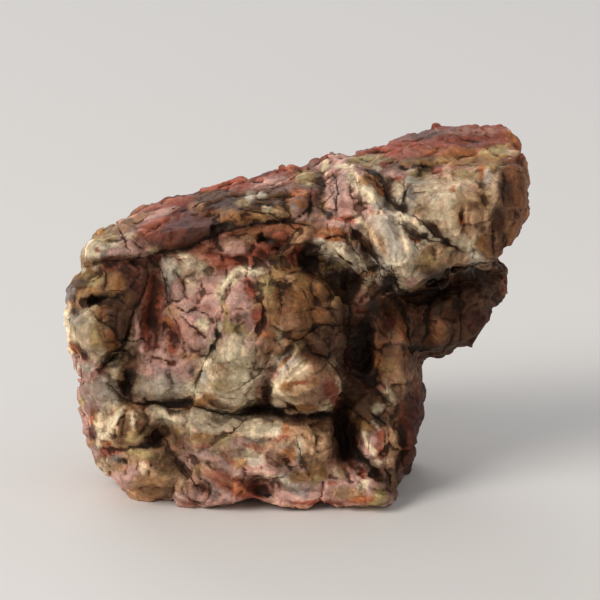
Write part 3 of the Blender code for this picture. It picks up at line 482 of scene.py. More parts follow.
PATCHES = drawn(Patch, Side.FRONT,
    # The lie of the land: broad colours that the finer stains go over.
    (200, 310, 56, 76, ROSE), (240, 180, 110, 18, RED, 14), (245, 210, 70, 18, BROWN, 10),
    (188, 230, 48, 22, WINE, 20), (134, 244, 26, 16, ROSE, 6), (98, 246, 22, 18, CREAM),
    (240, 248, 84, 20, RED, 12), (330, 262, 46, 34, BROWN), (308, 305, 52, 46, OCHRE),
    (222, 378, 34, 36, CREAM), (222, 378, 34, 36, OLIVE, 0, 0.35), (302, 384, 48, 36, CREAM),
    (262, 350, 28, 24, TAN), (250, 440, 110, 32, TAN), (250, 480, 110, 28, ROSE), (115, 430, 46, 40, TAN),
    # The brown in the valley, in the chimney and under the head is partly painted shade.
    (140, 482, 56, 28, TAN), (365, 330, 34, 70, BROWN), (395, 380, 28, 60, TAN), (362, 430, 34, 40, BROWN),
    (415, 440, 22, 60, WINE), (455, 305, 80, 56, BROWN), (365, 490, 40, 26, ROSE), (505, 205, 36, 64, TAN),
    (440, 212, 62, 52, CREAM), (345, 195, 26, 46, ROSE), (445, 142, 120, 24, RED),
    (392, 238, 30, 48, BONE, 10), (95, 285, 36, 26, OCHRE), (124, 300, 26, 44, BROWN),
    (84, 336, 30, 32, CREAM), (152, 306, 16, 52, WINE, -4), (84, 385, 26, 30, ROSE),
    (120, 382, 18, 26, OLIVE),
    # The knob.
    (92, 280, 9, 6, OLIVE), (83, 270, 5, 3, CREAM), (97, 268, 5, 3, CREAM), (80, 284, 10, 6, BROWN),
    (67, 292, 8, 10, GREY), (120, 266, 22, 4, RED, 8), (135, 278, 14, 18, WINE), (117, 285, 9, 12, OCHRE),
    (125, 300, 10, 10, BROWN), (118, 320, 11, 16, BROWN), (100, 315, 8, 8, OCHRE), (96, 299, 14, 5, INK, 14),
    (80, 305, 10, 5, TAN), (76, 318, 9, 7, BONE), (74, 312, 4, 4, BROWN, 0, 0.7),
    (84, 342, 15, 14, CREAM, -30), (96, 338, 7, 15, OLIVE), (110, 344, 8, 13, OCHRE),
    (88, 352, 16, 5, CREAM, -25), (75, 348, 7, 4, RUST, -45), (85, 357, 6, 3, RUST, -30),
    (78, 364, 10, 8, ROSE), (103, 364, 8, 4, BROWN, -20),
    # Under the knob.
    (102, 376, 6, 9, WINE), (86, 381, 12, 9, ROSE, 0, 0.8), (85, 368, 9, 5, BONE, 0, 0.6),
    (118, 374, 8, 11, CREAM, 8), (117, 365, 5, 3, GREY, 0, 0.6), (127, 361, 2.5, 5, CREAM),
    (111, 398, 9, 11, CREAM), (93, 399, 13, 10, ROSE), (98, 398, 6, 4, RED), (81, 404, 4, 8, OLIVE),
    (94, 378, 4, 6, RED, 0, 0.6), (131, 376, 6, 14, INK), (126, 391, 11, 9, INK), (115, 387, 6, 5, INK),
    # The left lobe and the foot lobe.
    (85, 424, 7, 20, ROSE), (93, 419, 4, 9, RUST), (93, 433, 4, 7, WINE), (105, 426, 10, 18, CREAM),
    (100, 443, 4, 7, CREAM), (107, 443, 5, 3, RUST), (124, 424, 6, 14, BROWN, 10),
    (117, 417, 3, 13, CREAM, -38), (121, 437, 8, 7, BROWN), (133, 420, 3, 10, CREAM, 10),
    # The black in the hole here is partly painted shade.
    (144, 426, 9, 14, BROWN, 30), (134, 437, 8, 6, OLIVE), (154, 440, 12, 7, INK, 20, 0.6),
    (150, 445, 16, 4, INK), (140, 453, 22, 4, OLIVE, -14), (108, 452, 17, 4, RED), (93, 452, 6, 6, ROSE),
    (116, 459, 10, 4, GREY, 0, 0.7), (123, 460, 7, 3.5, INK, 0, 0.8), (102, 468, 9, 9, CREAM, 0, 0.6),
    (121, 481, 13, 9, ROSE), (166, 464, 17, 11, BROWN, -20), (143, 468, 4, 7, CREAM, 0, 0.7),
    (133, 470, 6, 6, ROSE), (152, 487, 24, 12, OCHRE, 0, 0.5), (170, 492, 7, 12, BROWN, 0, 0.6),
    (188, 500, 18, 8, ROSE), (188, 504, 8, 4, RED, 0, 0.7),
    # The bottom ledge.
    (165, 416, 22, 8, CREAM, -38), (180, 428, 12, 8, OLIVE), (186, 440, 6, 8, ROSE, 0, 0.6),
    (214, 420, 24, 12, CREAM), (213, 425, 14, 6, BONE, 0, 0.5), (262, 426, 24, 12, CREAM),
    (270, 420, 10, 4, OCHRE, 0, 0.6), (275, 430, 10, 6, BONE, 0, 0.5), (222, 427, 5, 3, BROWN),
    (286, 428, 5, 8, RUST), (302, 430, 12, 12, TAN), (319, 424, 12, 12, BROWN), (205, 439, 20, 6, OCHRE),
    (204, 447, 8, 3, RED), (203, 452, 9, 3, WINE), (228, 440, 12, 5, OLIVE), (240, 442, 12, 5, ROSE),
    (262, 440, 12, 3, GREY, -8, 0.5), (254, 447, 11, 4, RED, -18), (281, 438, 10, 3, RED, 12, 0.8),
    (274, 460, 8, 11, WINE, 30), (285, 446, 8, 3, GREY, 0, 0.5), (288, 456, 9, 9, RUST),
    (301, 450, 5, 12, CREAM, 20), (315, 455, 12, 14, TAN), (318, 472, 12, 10, OCHRE), (317, 480, 5, 6, OLIVE),
    (196, 458, 16, 7, ROSE), (250, 455, 12, 7, CREAM, 0, 0.7), (240, 462, 12, 6, OCHRE),
    (228, 458, 9, 3, RED, -35), (255, 462, 7, 5, BONE), (210, 463, 8, 3, BROWN, -20, 0.7),
    (221, 471, 5, 4, GREY), (219, 470, 2, 2, INK), (265, 470, 14, 4, ROSE), (232, 484, 36, 9, RED, -28),
    (236, 487, 14, 4, RUST, -30, 0.7), (257, 487, 16, 8, WINE, -20), (267, 495, 6, 4, INK, -30),
    (214, 494, 5, 6, GREY, 0, 0.7), (206, 490, 5, 10, WINE, 0, 0.7), (268, 477, 8, 3, INK, 0, 0.8),
    (285, 478, 10, 5, BONE), (297, 490, 14, 6, GREY, -28, 0.6), (292, 485, 9, 5, BONE, -20, 0.7),
    (300, 477, 12, 6, OCHRE), (315, 503, 24, 2.5, RED), (330, 487, 12, 7, ROSE), (332, 483, 6, 3, RED),
    (200, 470, 8, 8, OCHRE, 0, 0.5), (250, 455, 90, 32, CREAM, 0, 0.15), (352, 470, 14, 9, CREAM, 0, 0.35),
    # The chimney, the right foot and its column. The chimney's black is partly painted shade.
    (343, 432, 9, 32, INK), (361, 458, 12, 6, INK, -45), (345, 408, 10, 8, INK), (351, 416, 8, 4, OLIVE, -40),
    (365, 425, 8, 7, OCHRE), (362, 444, 9, 10, ROSE, 30), (375, 448, 12, 14, ROSE), (381, 436, 4, 9, RED),
    (379, 452, 4, 9, RED), (371, 447, 3, 10, CREAM, 30), (376, 425, 2, 7, CREAM, 40),
    (365, 434, 3, 6, CREAM, 30), (357, 443, 3, 5, RED), (390, 459, 6, 3, CREAM, 50), (393, 445, 9, 20, TAN),
    (400, 437, 5, 8, BROWN), (379, 420, 8, 6, INK), (378, 407, 7, 5, CREAM, 0, 0.7),
    (388, 392, 5, 13, CREAM, 25), (381, 386, 5, 5, ROSE), (388, 366, 7, 11, OLIVE),
    (400, 340, 6, 22, TAN, 0, 0.7), (373, 472, 6, 8, INK), (380, 478, 5, 6, BROWN),
    (347, 468, 4, 5, CREAM, 30), (352, 479, 4, 4, CREAM), (354, 472, 12, 11, ROSE), (363, 474, 4, 7, RED),
    (340, 473, 6, 5, CREAM), (362, 486, 7, 4, CREAM, 35), (348, 493, 18, 6, TAN), (380, 495, 8, 9, OLIVE),
    (373, 504, 8, 4, OLIVE), (388, 480, 4, 9, INK), (395, 482, 6, 12, BROWN), (362, 500, 12, 4, RUST),
    (345, 502, 10, 3, RED, 0, 0.5), (377, 463, 6, 4, CREAM, 0, 0.8),
    # The valley: its black and brown are partly painted shade.
    (366, 335, 12, 20, INK), (360, 358, 14, 18, INK), (346, 362, 6, 16, WINE), (366, 388, 13, 12, BROWN),
    (358, 311, 8, 5, RED, 0, 0.7), (362, 297, 6, 8, ROSE, -20), (366, 284, 4, 10, CREAM, -25),
    (390, 284, 9, 13, INK), (372, 305, 5, 8, INK), (370, 375, 10, 10, INK, 0, 0.8), (390, 322, 7, 10, WINE),
    (392, 343, 8, 3, ROSE, 0, 0.6),
    # The slab.
    (103, 236, 13, 9, OLIVE), (100, 232, 9, 4, OCHRE), (93, 250, 9, 9, CREAM), (98, 250, 3.5, 2, RED),
    (104, 254, 4, 4, GREY), (112, 241, 6, 2, BROWN), (114, 252, 10, 4, ROSE), (112, 258, 16, 3, WINE, 6),
    (138, 240, 12, 12, ROSE), (133, 236, 8, 5, CREAM, 0, 0.7), (153, 249, 7, 5, CREAM),
    (125, 226, 18, 5, TAN, 20), (156, 228, 20, 9, RED, 22), (190, 222, 18, 3, RED, 24, 0.7),
    (157, 238, 7, 5, RED), (186, 234, 28, 14, WINE, 18), (160, 214, 22, 3, ROSE, 22, 0.6),
    (178, 214, 16, 4, WINE, 24), (197, 207, 8, 6, TAN), (197, 221, 13, 7, RUST), (228, 216, 19, 8, OCHRE),
    (212, 232, 5, 7, INK), (228, 225, 11, 5, INK, 15), (208, 208, 5, 5, INK, 0, 0.7),
    (253, 217, 22, 5, OCHRE, 8), (262, 206, 14, 3, INK, 0, 0.8), (242, 203, 7, 4, OLIVE),
    (250, 196, 5, 6, BONE), (262, 195, 5, 3.5, BONE), (250, 183, 28, 5, RED, 12), (270, 182, 20, 5, ROSE, 14),
    (300, 168, 24, 4, RED, 12), (212, 196, 24, 5, BROWN, 4), (183, 200, 12, 5, RED, 10),
    (276, 212, 12, 5, OLIVE), (267, 208, 5, 3, CREAM), (300, 200, 12, 15, RUST), (313, 193, 4, 7, RED),
    (293, 207, 3.5, 5, GREY), (299, 214, 8, 6, ROSE), (308, 178, 12, 8, OLIVE), (315, 166, 8, 6, ROSE),
    (325, 166, 4, 8, CREAM), (321, 190, 6, 15, BROWN), (323, 208, 5, 9, TAN), (331, 216, 5, 6, INK),
    (310, 206, 3, 10, INK, 0, 0.8), (289, 222, 8, 3, INK), (329, 183, 4, 7, ROSE),
    # Below the slab's seam.
    (285, 228, 26, 5, RUST, 4, 0.7), (300, 236, 14, 9, TAN, 50, 0.8), (297, 256, 12, 8, RED, 30),
    (270, 241, 10, 5, INK, -10), (279, 248, 5, 5, INK), (262, 250, 14, 7, RED), (250, 234, 14, 5, RUST),
    (232, 247, 16, 9, ROSE), (210, 244, 7, 4, RED), (217, 262, 7, 9, RED), (222, 246, 3, 5, BROWN, 0, 0.6),
    (186, 256, 13, 4, CREAM, -28), (196, 265, 9, 5, CREAM, 0, 0.5), (190, 264, 10, 7, ROSE),
    (193, 269, 3, 3, RED), (168, 266, 7, 12, BONE, 0, 0.7), (170, 284, 4, 8, GREY, 0, 0.7),
    (176, 271, 5, 5, INK), (158, 259, 4, 4, INK, 0, 0.7), (208, 273, 5, 4, RED), (183, 281, 4, 2, OCHRE),
    (192, 290, 8, 12, CREAM, 0, 0.4), (200, 300, 18, 12, ROSE), (275, 258, 8, 6, BROWN),
    (266, 268, 7, 5, ROSE), (262, 257, 6, 6, WINE), (332, 232, 18, 5, RUST, -5), (345, 243, 9, 7, RUST, -40),
    (338, 252, 24, 12, BONE, -38), (338, 251, 19, 8, CREAM, -38), (328, 237, 15, 3, RUST, -10),
    # The black in the deep holes beside the tooth is partly painted shade.
    (337, 270, 14, 3, CREAM, 20, 0.8), (335, 267, 15, 3, OLIVE, 15), (308, 254, 9, 11, INK),
    (309, 270, 12, 10, INK), (345, 280, 14, 12, INK), (318, 279, 8, 5, BROWN),
    (352, 238, 3, 9, OLIVE, -40, 0.7),
    # The cream S-shaped ridge and its neighbours.
    (247, 271, 15, 5, CREAM), (230, 281, 12, 7, CREAM, 45), (220, 293, 5, 8, CREAM),
    (226, 311, 3, 12, OLIVE, 12), (227, 326, 3.5, 7, OLIVE), (236, 292, 8, 8, ROSE, 0, 0.8),
    (250, 290, 5, 11, RED, 20), (264, 285, 4, 9, OLIVE), (238, 304, 12, 8, ROSE), (246, 316, 3, 3, GREY),
    (238, 317, 4, 5, BROWN, 0, 0.6), (279, 275, 11, 9, OCHRE, 0, 0.7), (258, 318, 6, 12, RED),
    (238, 330, 12, 7, OLIVE), (250, 325, 5, 6, ROSE), (264, 326, 7, 7, BROWN),
    # The ochre dome and the lumps beside it.
    (268, 286, 8, 10, OLIVE), (275, 302, 6, 9, OLIVE), (300, 300, 24, 22, OCHRE), (292, 324, 13, 10, TAN),
    (334, 297, 12, 18, BROWN, 0, 0.6), (322, 340, 18, 14, BROWN), (279, 335, 4, 8, CREAM, 0, 0.7),
    (335, 300, 6, 8, OLIVE, 0, 0.5), (320, 355, 10, 4, INK), (284, 290, 6, 5, BROWN, 0, 0.6),
    (272, 270, 8, 4, OLIVE, 0, 0.6), (286, 279, 8, 6, TAN, 0, 0.6),
    # The pale lumps under it.
    (240, 350, 17, 14, CREAM), (258, 350, 14, 11, TAN, 0, 0.6), (252, 343, 14, 5, ROSE, 0, 0.5),
    (266, 335, 9, 4, RUST), (244, 367, 11, 4, OLIVE), (238, 362, 8, 3, CREAM),
    (239, 353, 2, 4, INK, -30, 0.7), (222, 372, 9, 9, OCHRE), (208, 376, 5, 12, CREAM, 20),
    (206, 400, 13, 7, OCHRE, 10), (218, 404, 12, 4, BROWN, -20), (206, 412, 13, 3, CREAM, -14),
    (238, 398, 16, 9, CREAM), (222, 385, 12, 6, OLIVE), (222, 372, 5, 3, BROWN, 0, 0.5),
    (261, 386, 7, 8, ROSE), (267, 393, 5, 10, WINE), (272, 372, 7, 10, ROSE), (275, 362, 5, 7, CREAM),
    (289, 360, 18, 7, BONE, 43), (293, 371, 17, 3.5, CREAM, 40), (285, 362, 13, 2, OCHRE, 45),
    (303, 350, 8, 6, OLIVE), (262, 362, 8, 4, BROWN, 30, 0.6), (298, 391, 25, 17, CREAM, 0, 0.85),
    (277, 396, 6, 14, CREAM), (286, 388, 7, 5, OCHRE), (299, 383, 10, 2.5, RUST, 8),
    (303, 376, 10, 4, CREAM, 10), (313, 396, 9, 8, ROSE, 0, 0.5), (322, 375, 15, 13, TAN),
    (327, 392, 8, 14, ROSE, 15), (332, 392, 7, 14, RED, 18), (303, 408, 16, 3.5, OCHRE),
    (325, 404, 6, 5, CREAM, 30), (238, 372, 30, 28, CREAM, 0, 0.4),
    # The waist.
    (264, 409, 16, 5, INK), (280, 413, 8, 4, INK, -40), (296, 417, 6, 3, INK), (322, 416, 12, 4, INK),
    (246, 415, 6, 6, INK, 40), (168, 405, 13, 4, INK, 0, 0.7), (186, 401, 8, 4, INK), (175, 413, 8, 2.5, INK),
    (150, 403, 12, 3, BROWN),
    # The rose plane's foot.
    (172, 368, 26, 14, ROSE), (165, 373, 14, 6, GREY, 0, 0.5), (172, 364, 5, 3, WINE),
    (176, 391, 26, 7, CREAM), (163, 396, 12, 4, CREAM), (173, 342, 7, 17, RED, -10), (196, 342, 13, 12, ROSE),
    (203, 325, 7, 6, CREAM), (193, 373, 4, 6, INK, 0, 0.8), (204, 378, 5, 7, BONE), (190, 356, 12, 4, TAN),
    (168, 323, 5, 6, RUST), (172, 310, 7, 6, TAN, 0, 0.6), (172, 298, 10, 5, BROWN, 0, 0.5),
    (219, 325, 4, 5, CREAM), (218, 335, 4, 5, INK), (213, 346, 3, 6, INK), (213, 343, 2, 3, CREAM, 40),
    # The red flute.
    (152, 276, 9, 14, WINE), (153, 298, 9, 14, RED), (150, 330, 9, 18, WINE), (145, 335, 3, 12, RED),
    (139, 335, 3, 18, ROSE, 8), (152, 268, 8, 6, BROWN, 0, 0.7), (152, 300, 10, 42, RED, -4, 0.35),
    (172, 232, 44, 16, RUST, 20, 0.3),
    # The head's left end.
    (345, 190, 12, 28, ROSE, 10), (352, 178, 6, 10, CREAM, 20), (343, 208, 4, 9, RED, 0, 0.5),
    (369, 192, 16, 9, CREAM, -22), (373, 183, 14, 3, RUST, -35), (368, 180, 9, 5, OCHRE),
    (381, 190, 8, 4, RUST, -40), (361, 204, 8, 2, BROWN), (367, 210, 8, 4, ROSE), (349, 219, 14, 3, RED),
    (344, 166, 10, 3, CREAM), (368, 160, 20, 5, OLIVE), (378, 168, 5, 2.5, CREAM), (383, 165, 3, 3, RED),
    (373, 173, 10, 2, INK, -30), (389, 172, 5, 3, INK), (340, 155, 9, 6, ROSE), (340, 152, 5, 3, BROWN),
    (389, 190, 4, 12, BROWN, 20), (391, 199, 4, 7, INK, 20), (402, 208, 8, 4, INK, -20),
    # The bone ledge.
    (372, 236, 4, 26, CREAM, 40), (402, 234, 4, 32, CREAM, 18), (402, 268, 9, 14, CREAM, 30),
    (390, 235, 11, 28, BONE, 20), (381, 246, 3, 16, TAN, 22, 0.6), (368, 247, 4, 20, INK, 38),
    (361, 240, 4, 16, BROWN, 38), (369, 271, 6, 4, OCHRE), (361, 263, 2.5, 10, CREAM, 35),
    (378, 212, 10, 3, TAN, 0, 0.5),
    # The head's top and rim.
    (420, 134, 40, 5, GREY, 6, 0.5), (428, 137, 11, 2.5, INK, 10, 0.6), (470, 141, 14, 2.5, INK, -4, 0.6),
    (408, 155, 15, 4, RED), (395, 146, 16, 2.5, RED, 6), (462, 152, 42, 5, RUST), (440, 162, 44, 3.5, OCHRE),
    (497, 152, 18, 7, OLIVE, 12), (512, 152, 6, 5, CREAM), (494, 165, 12, 4, OLIVE), (515, 139, 8, 11, RUST),
    (480, 165, 18, 1.5, BROWN, 0, 0.7), (425, 166, 8, 1.5, INK), (404, 168, 7, 1.5, INK),
    (470, 131, 40, 4, ROSE, 0, 0.5),
    # The head's face.
    (396, 174, 14, 5, ROSE), (398, 190, 5, 8, CREAM), (398, 179, 8, 2.5, RED), (422, 180, 16, 7, BONE),
    (420, 174, 11, 4, OLIVE), (438, 173, 7, 9, RED, 25), (412, 194, 6, 7, GREY), (404, 196, 2.5, 9, INK, -10),
    (421, 193, 8, 1.5, INK), (450, 192, 32, 17, CREAM), (453, 190, 4, 3.5, RUST, 0, 0.8),
    (443, 197, 3, 2.5, RUST, 0, 0.7), (434, 201, 8, 5, BONE, 0, 0.6), (469, 188, 8, 5, BONE, 0, 0.6),
    (485, 197, 8, 14, OLIVE, 10, 0.5), (470, 207, 8, 5, TAN, 0, 0.5), (424, 211, 13, 7, OCHRE, 0, 0.7),
    (450, 205, 14, 10, CREAM), (444, 226, 16, 5, TAN, -10, 0.6), (464, 174, 14, 5, OLIVE, 0, 0.6),
    (464, 160, 48, 4, OCHRE), (474, 204, 7, 4, BROWN, 0, 0.3), (482, 173, 4, 9, RUST, 10, 0.7),
    (478, 186, 7, 5, BROWN, 0, 0.35), (497, 188, 4, 18, CREAM, -6), (488, 177, 4, 8, BONE),
    (434, 230, 15, 3.5, BROWN, -42), (413, 233, 13, 4, BROWN, -30, 0.6), (412, 222, 12, 4, CREAM, -35),
    (425, 236, 4, 3, INK), (446, 242, 6, 4, INK), (456, 248, 6, 3, INK, -30), (462, 222, 3, 9, RUST, -15),
    (463, 216, 2, 4, BROWN, 0, 0.6), (471, 228, 4, 13, CREAM), (464, 244, 8, 6, CREAM),
    (438, 250, 22, 7, OCHRE, 0, 0.6), (455, 226, 6, 10, CREAM, 0, 0.8), (414, 240, 5, 2, RUST),
    (430, 262, 15, 9, OLIVE, 0, 0.7), (427, 270, 10, 5, BROWN, 0, 0.6), (410, 281, 13, 9, CREAM, 20),
    (405, 290, 5, 3, GREY, 0, 0.6), (428, 285, 8, 4, OLIVE), (412, 282, 6, 5, ROSE), (456, 260, 12, 7, TAN),
    (476, 257, 8, 8, BONE), (470, 270, 10, 2.5, GREY, 10), (482, 245, 6, 10, OCHRE), (497, 220, 8, 14, BROWN),
    (505, 190, 8, 14, WINE, 0, 0.6), (508, 188, 4, 5, GREY, 0, 0.7),
    # Under the head: its black and brown are partly painted shade.
    (440, 285, 16, 13, INK), (432, 305, 14, 10, INK, 0, 0.7), (440, 330, 9, 14, TAN),
    (478, 303, 7, 5, TAN, 0, 0.6), (480, 318, 14, 8, WINE), (506, 285, 6, 9, RED),
    (455, 280, 14, 6, TAN, 0, 0.5), (412, 347, 14, 4, INK, 0, 0.6), (402, 330, 5, 14, RUST, 10, 0.7),
    # Thin stains that go over the rest.
    (205, 256, 18, 7, RED, 10, 0.4), (194, 250, 12, 5, RUST, 10, 0.5), (192, 268, 20, 13, CREAM, 0, 0.65),
    (168, 272, 8, 12, BONE, 0, 0.5), (206, 273, 9, 3, CREAM, -30, 0.6), (200, 307, 17, 3.5, RED, -8, 0.45),
    (192, 289, 9, 7, CREAM, 0, 0.3), (174, 313, 6, 9, TAN, 20, 0.5), (177, 340, 5, 14, WINE, 12, 0.6),
    (264, 328, 5, 9, RED, -30, 0.6), (166, 230, 38, 13, RED, 18, 0.5), (176, 232, 34, 11, WINE, 18, 0.35),
    (167, 387, 19, 12, BONE, 0, 0.8), (104, 391, 20, 13, BONE, 0, 0.65), (140, 388, 9, 12, BONE, 0, 0.5),
    # The brown beside the valley, in the chimney and at the head's right edge is partly painted shade.
    (132, 362, 9, 8, TAN, 0, 0.5), (240, 240, 26, 7, TAN, 14, 0.5), (348, 314, 7, 26, BROWN, 0, 0.4),
    (102, 356, 14, 8, CREAM, -20, 0.5), (215, 421, 60, 10, CREAM, 0, 0.6), (316, 353, 16, 11, BROWN, 0, 0.9),
    (345, 440, 10, 26, BROWN, 0, 0.4), (436, 209, 13, 11, CREAM, 0, 0.7), (406, 240, 6, 20, CREAM, 20, 0.4),
    (285, 212, 12, 8, TAN, 0, 0.5), (496, 240, 12, 16, BROWN, 0, 0.5)
) + drawn(Patch, Side.BACK,
    (330, 330, 240, 190, TAN), (262, 320, 48, 80, ROSE), (405, 325, 56, 52, OCHRE), (488, 335, 40, 56, CREAM),
    (370, 206, 110, 24, WINE, -10), (150, 240, 80, 60, CREAM), (160, 180, 100, 22, RED, -4),
    (350, 458, 76, 36, ROSE), (236, 460, 44, 44, TAN), (470, 452, 54, 40, CREAM), (382, 300, 24, 18, OLIVE),
    (430, 350, 16, 26, BROWN), (412, 358, 20, 10, OLIVE), (286, 330, 7, 50, RED, 4),
    (240, 300, 10, 26, RED, -10), (258, 378, 24, 12, CREAM), (210, 345, 12, 40, WINE),
    (330, 374, 13, 24, INK, 20), (346, 300, 14, 40, BROWN), (504, 300, 24, 18, OCHRE),
    (500, 372, 26, 16, ROSE), (474, 330, 10, 30, BONE), (126, 270, 34, 16, OLIVE), (176, 232, 26, 20, OCHRE),
    (116, 224, 24, 18, BONE), (214, 252, 22, 44, BROWN), (190, 290, 26, 10, RUST),
    (390, 190, 50, 7, GREY, -8), (322, 204, 44, 9, RED, -6), (450, 222, 46, 10, ROSE, -12),
    (500, 250, 30, 10, OLIVE, -14), (300, 222, 26, 4, INK), (360, 438, 40, 10, CREAM),
    (336, 484, 50, 8, RED, 6), (392, 462, 26, 6, GREY, -10), (300, 450, 10, 26, RUST),
    (232, 440, 24, 12, OCHRE), (222, 478, 20, 8, RED), (486, 470, 34, 10, OLIVE), (292, 430, 10, 12, INK),
    (430, 450, 7, 26, WINE), (120, 320, 40, 6, INK, -4)
) + drawn(Patch, Side.LEFT,
    (300, 330, 150, 190, TAN), (248, 325, 54, 54, OCHRE), (338, 300, 36, 38, CREAM), (232, 452, 56, 42, ROSE),
    (350, 452, 50, 40, TAN), (250, 226, 90, 18, RED), (226, 300, 22, 18, OLIVE), (270, 346, 16, 20, BROWN),
    (196, 340, 18, 44, ROSE), (300, 352, 9, 36, INK), (290, 446, 9, 36, WINE), (216, 440, 26, 14, CREAM),
    (246, 474, 30, 8, RED), (356, 436, 28, 12, OLIVE), (340, 478, 34, 10, ROSE), (300, 244, 60, 7, GREY),
    (230, 252, 44, 9, WINE), (352, 372, 30, 14, CREAM), (320, 330, 10, 18, RUST), (344, 288, 14, 12, BONE)
) + drawn(Patch, Side.RIGHT,
    # The right side's broad brown and wine are partly painted shade.
    (300, 320, 150, 190, BROWN), (262, 210, 60, 60, TAN), (370, 220, 48, 60, OCHRE), (300, 158, 110, 18, RED),
    (280, 330, 70, 30, WINE), (364, 330, 44, 30, TAN), (284, 440, 50, 60, WINE), (372, 440, 36, 56, TAN),
    (240, 200, 26, 22, CREAM), (276, 240, 26, 12, GREY), (232, 250, 26, 14, ROSE), (380, 192, 26, 16, OLIVE),
    (390, 240, 22, 22, CREAM), (316, 220, 7, 50, INK), (250, 318, 24, 10, RED), (356, 340, 26, 10, OLIVE),
    (270, 420, 10, 40, RED), (296, 462, 16, 26, ROSE), (334, 436, 9, 50, BROWN), (376, 420, 20, 20, OCHRE),
    (384, 466, 22, 12, RED)
) + drawn(Patch, Side.TOP,
    (440, 290, 110, 90, RED), (210, 300, 130, 90, BROWN), (410, 340, 60, 26, ROSE),
    (420, 230, 70, 22, ROSE, -6), (440, 262, 70, 6, GREY, 4), (460, 308, 50, 5, GREY, -3),
    (480, 330, 44, 12, OCHRE), (506, 250, 20, 26, CREAM), (390, 300, 26, 22, RUST),
    (230, 330, 90, 22, WINE, 4), (160, 262, 60, 22, ROSE, 6), (284, 240, 40, 26, OLIVE),
    (220, 300, 80, 7, GREY, -3), (240, 268, 60, 10, RED, 5), (112, 300, 22, 40, ROSE),
    (282, 312, 26, 16, OCHRE), (330, 290, 7, 90, INK, 10), (190, 220, 60, 20, ROSE, 0, 0.7),
    (340, 220, 22, 40, ROSE, 10), (300, 208, 24, 10, CREAM), (360, 260, 18, 30, BROWN)
)


def linear(red: int, green: int, blue: int) -> tuple[float, float, float, float]:
    """Gives the light of a colour written as three numbers from 0 to 255."""
    return (*((channel / 255) ** 2.2 for channel in (red, green, blue)), 1.0)


CELL_FACTORS = (73856093, 19349663, 83492791)
SEED_FACTOR, SEED_SHIFT = 2654435761, 97
STIRS = ((15, 2246822519), (13, 3266489917))
WORD, KEPT_BITS, LAST_SHIFT = 0xFFFFFFFF, 0xFFFFFF, 16
FINER, LAYER_FADE, LAYER_SHIFT, LAYER_SEEDS = 2.03, 0.55, 17.31, 31


def scramble(cells: np.ndarray, seed: int) -> np.ndarray:
    """Gives every cell of space a fixed number that looks like chance.

    Args:
        cells: Whole numbers, three to a row.
        seed: Picks one of many sets of numbers.

    Returns:
        A number from 0 to 1 for each row.
    """
    whole = cells.astype(np.int64).astype(np.uint64)
    mixed = np.uint64(seed * SEED_FACTOR + SEED_SHIFT)
    for n, factor in enumerate(CELL_FACTORS):
        mixed = mixed ^ whole[:, n] * np.uint64(factor)
    for shift, factor in STIRS:
        mixed = (mixed ^ (mixed >> np.uint64(shift))) * np.uint64(factor) & np.uint64(WORD)
    return ((mixed ^ (mixed >> np.uint64(LAST_SHIFT))) & np.uint64(KEPT_BITS)) / float(KEPT_BITS)


def cloud(points: np.ndarray, size: float, seed: int, layers: int = 3) -> np.ndarray:
    """Gives smooth uneven values over space, from about -1 to 1.

    Args:
        points: Places, in millimetres.
        size: The width of the largest clouds, in millimetres.
        seed: Picks one of many clouds.
        layers: How many ever finer clouds are added up.

    Returns:
        One value for each place.
    """
    total = np.zeros(len(points))
    for layer in range(layers):
        spots = points * (FINER ** layer / size) + layer * LAYER_SHIFT
        cells = np.floor(spots)
        part = spots - cells
        part = part ** 3 * (part * (part * 6 - 15) + 10)
        for corner in itertools.product((0, 1), repeat=3):
            weight = np.prod(np.where(corner, part, 1 - part), axis=1)
            value = scramble(cells + corner, seed + layer * LAYER_SEEDS) * 2 - 1
            total += weight * value * LAYER_FADE ** layer
    return total


def ramp(values: np.ndarray, low: float, high: float) -> np.ndarray:
    """Eases values from 0 at low to 1 at high."""
    part = np.clip((values - low) / (high - low), 0.0, 1.0)
    return part * part * (3 - 2 * part)


def rounded(path: Sequence[Place], rounds: int = 2) -> np.ndarray:
    """Cuts a path's corners, and keeps its ends.

    Args:
        path: Places on a drawing.
        rounds: How often the corners are cut.

    Returns:
        The places of the rounder path, one to a row.
    """
    spots = np.array(path, dtype=float)
    for _ in range(rounds):
        near, far = spots[:-1] * 0.75 + spots[1:] * 0.25, spots[:-1] * 0.25 + spots[1:] * 0.75
        cut = np.stack((near, far), axis=1).reshape(-1, 2)
        spots = np.vstack((spots[:1], cut[1:-1], spots[-1:]))
    return spots


def beside(spots: np.ndarray, path: np.ndarray) -> tuple[np.ndarray, np.ndarray]:
    """Measures how far spots are from a path.

    Args:
        spots: Places on a drawing.
        path: The path's places.

    Returns:
        The gap to the path, below 0 on its left, and how far along it the nearest place is, from 0 to 1.
    """
    gaps, reached = np.full(len(spots), np.inf), np.zeros(len(spots))
    runs = np.diff(path, axis=0)
    lengths = np.hypot(runs[:, 0], runs[:, 1])
    for start, run, length, before in zip(path, runs, lengths, np.cumsum(lengths) - lengths):
        off = spots - start
        part = np.clip(off @ run / length ** 2, 0.0, 1.0)
        gap = np.hypot(off[:, 0] - part * run[0], off[:, 1] - part * run[1])
        gap *= np.where(run[0] * off[:, 1] - run[1] * off[:, 0] < 0, -1.0, 1.0)
        nearer = np.abs(gap) < np.abs(gaps)
        gaps[nearer] = gap[nearer]
        reached[nearer] = (before + part[nearer] * length) / lengths.sum()
    return gaps, reached


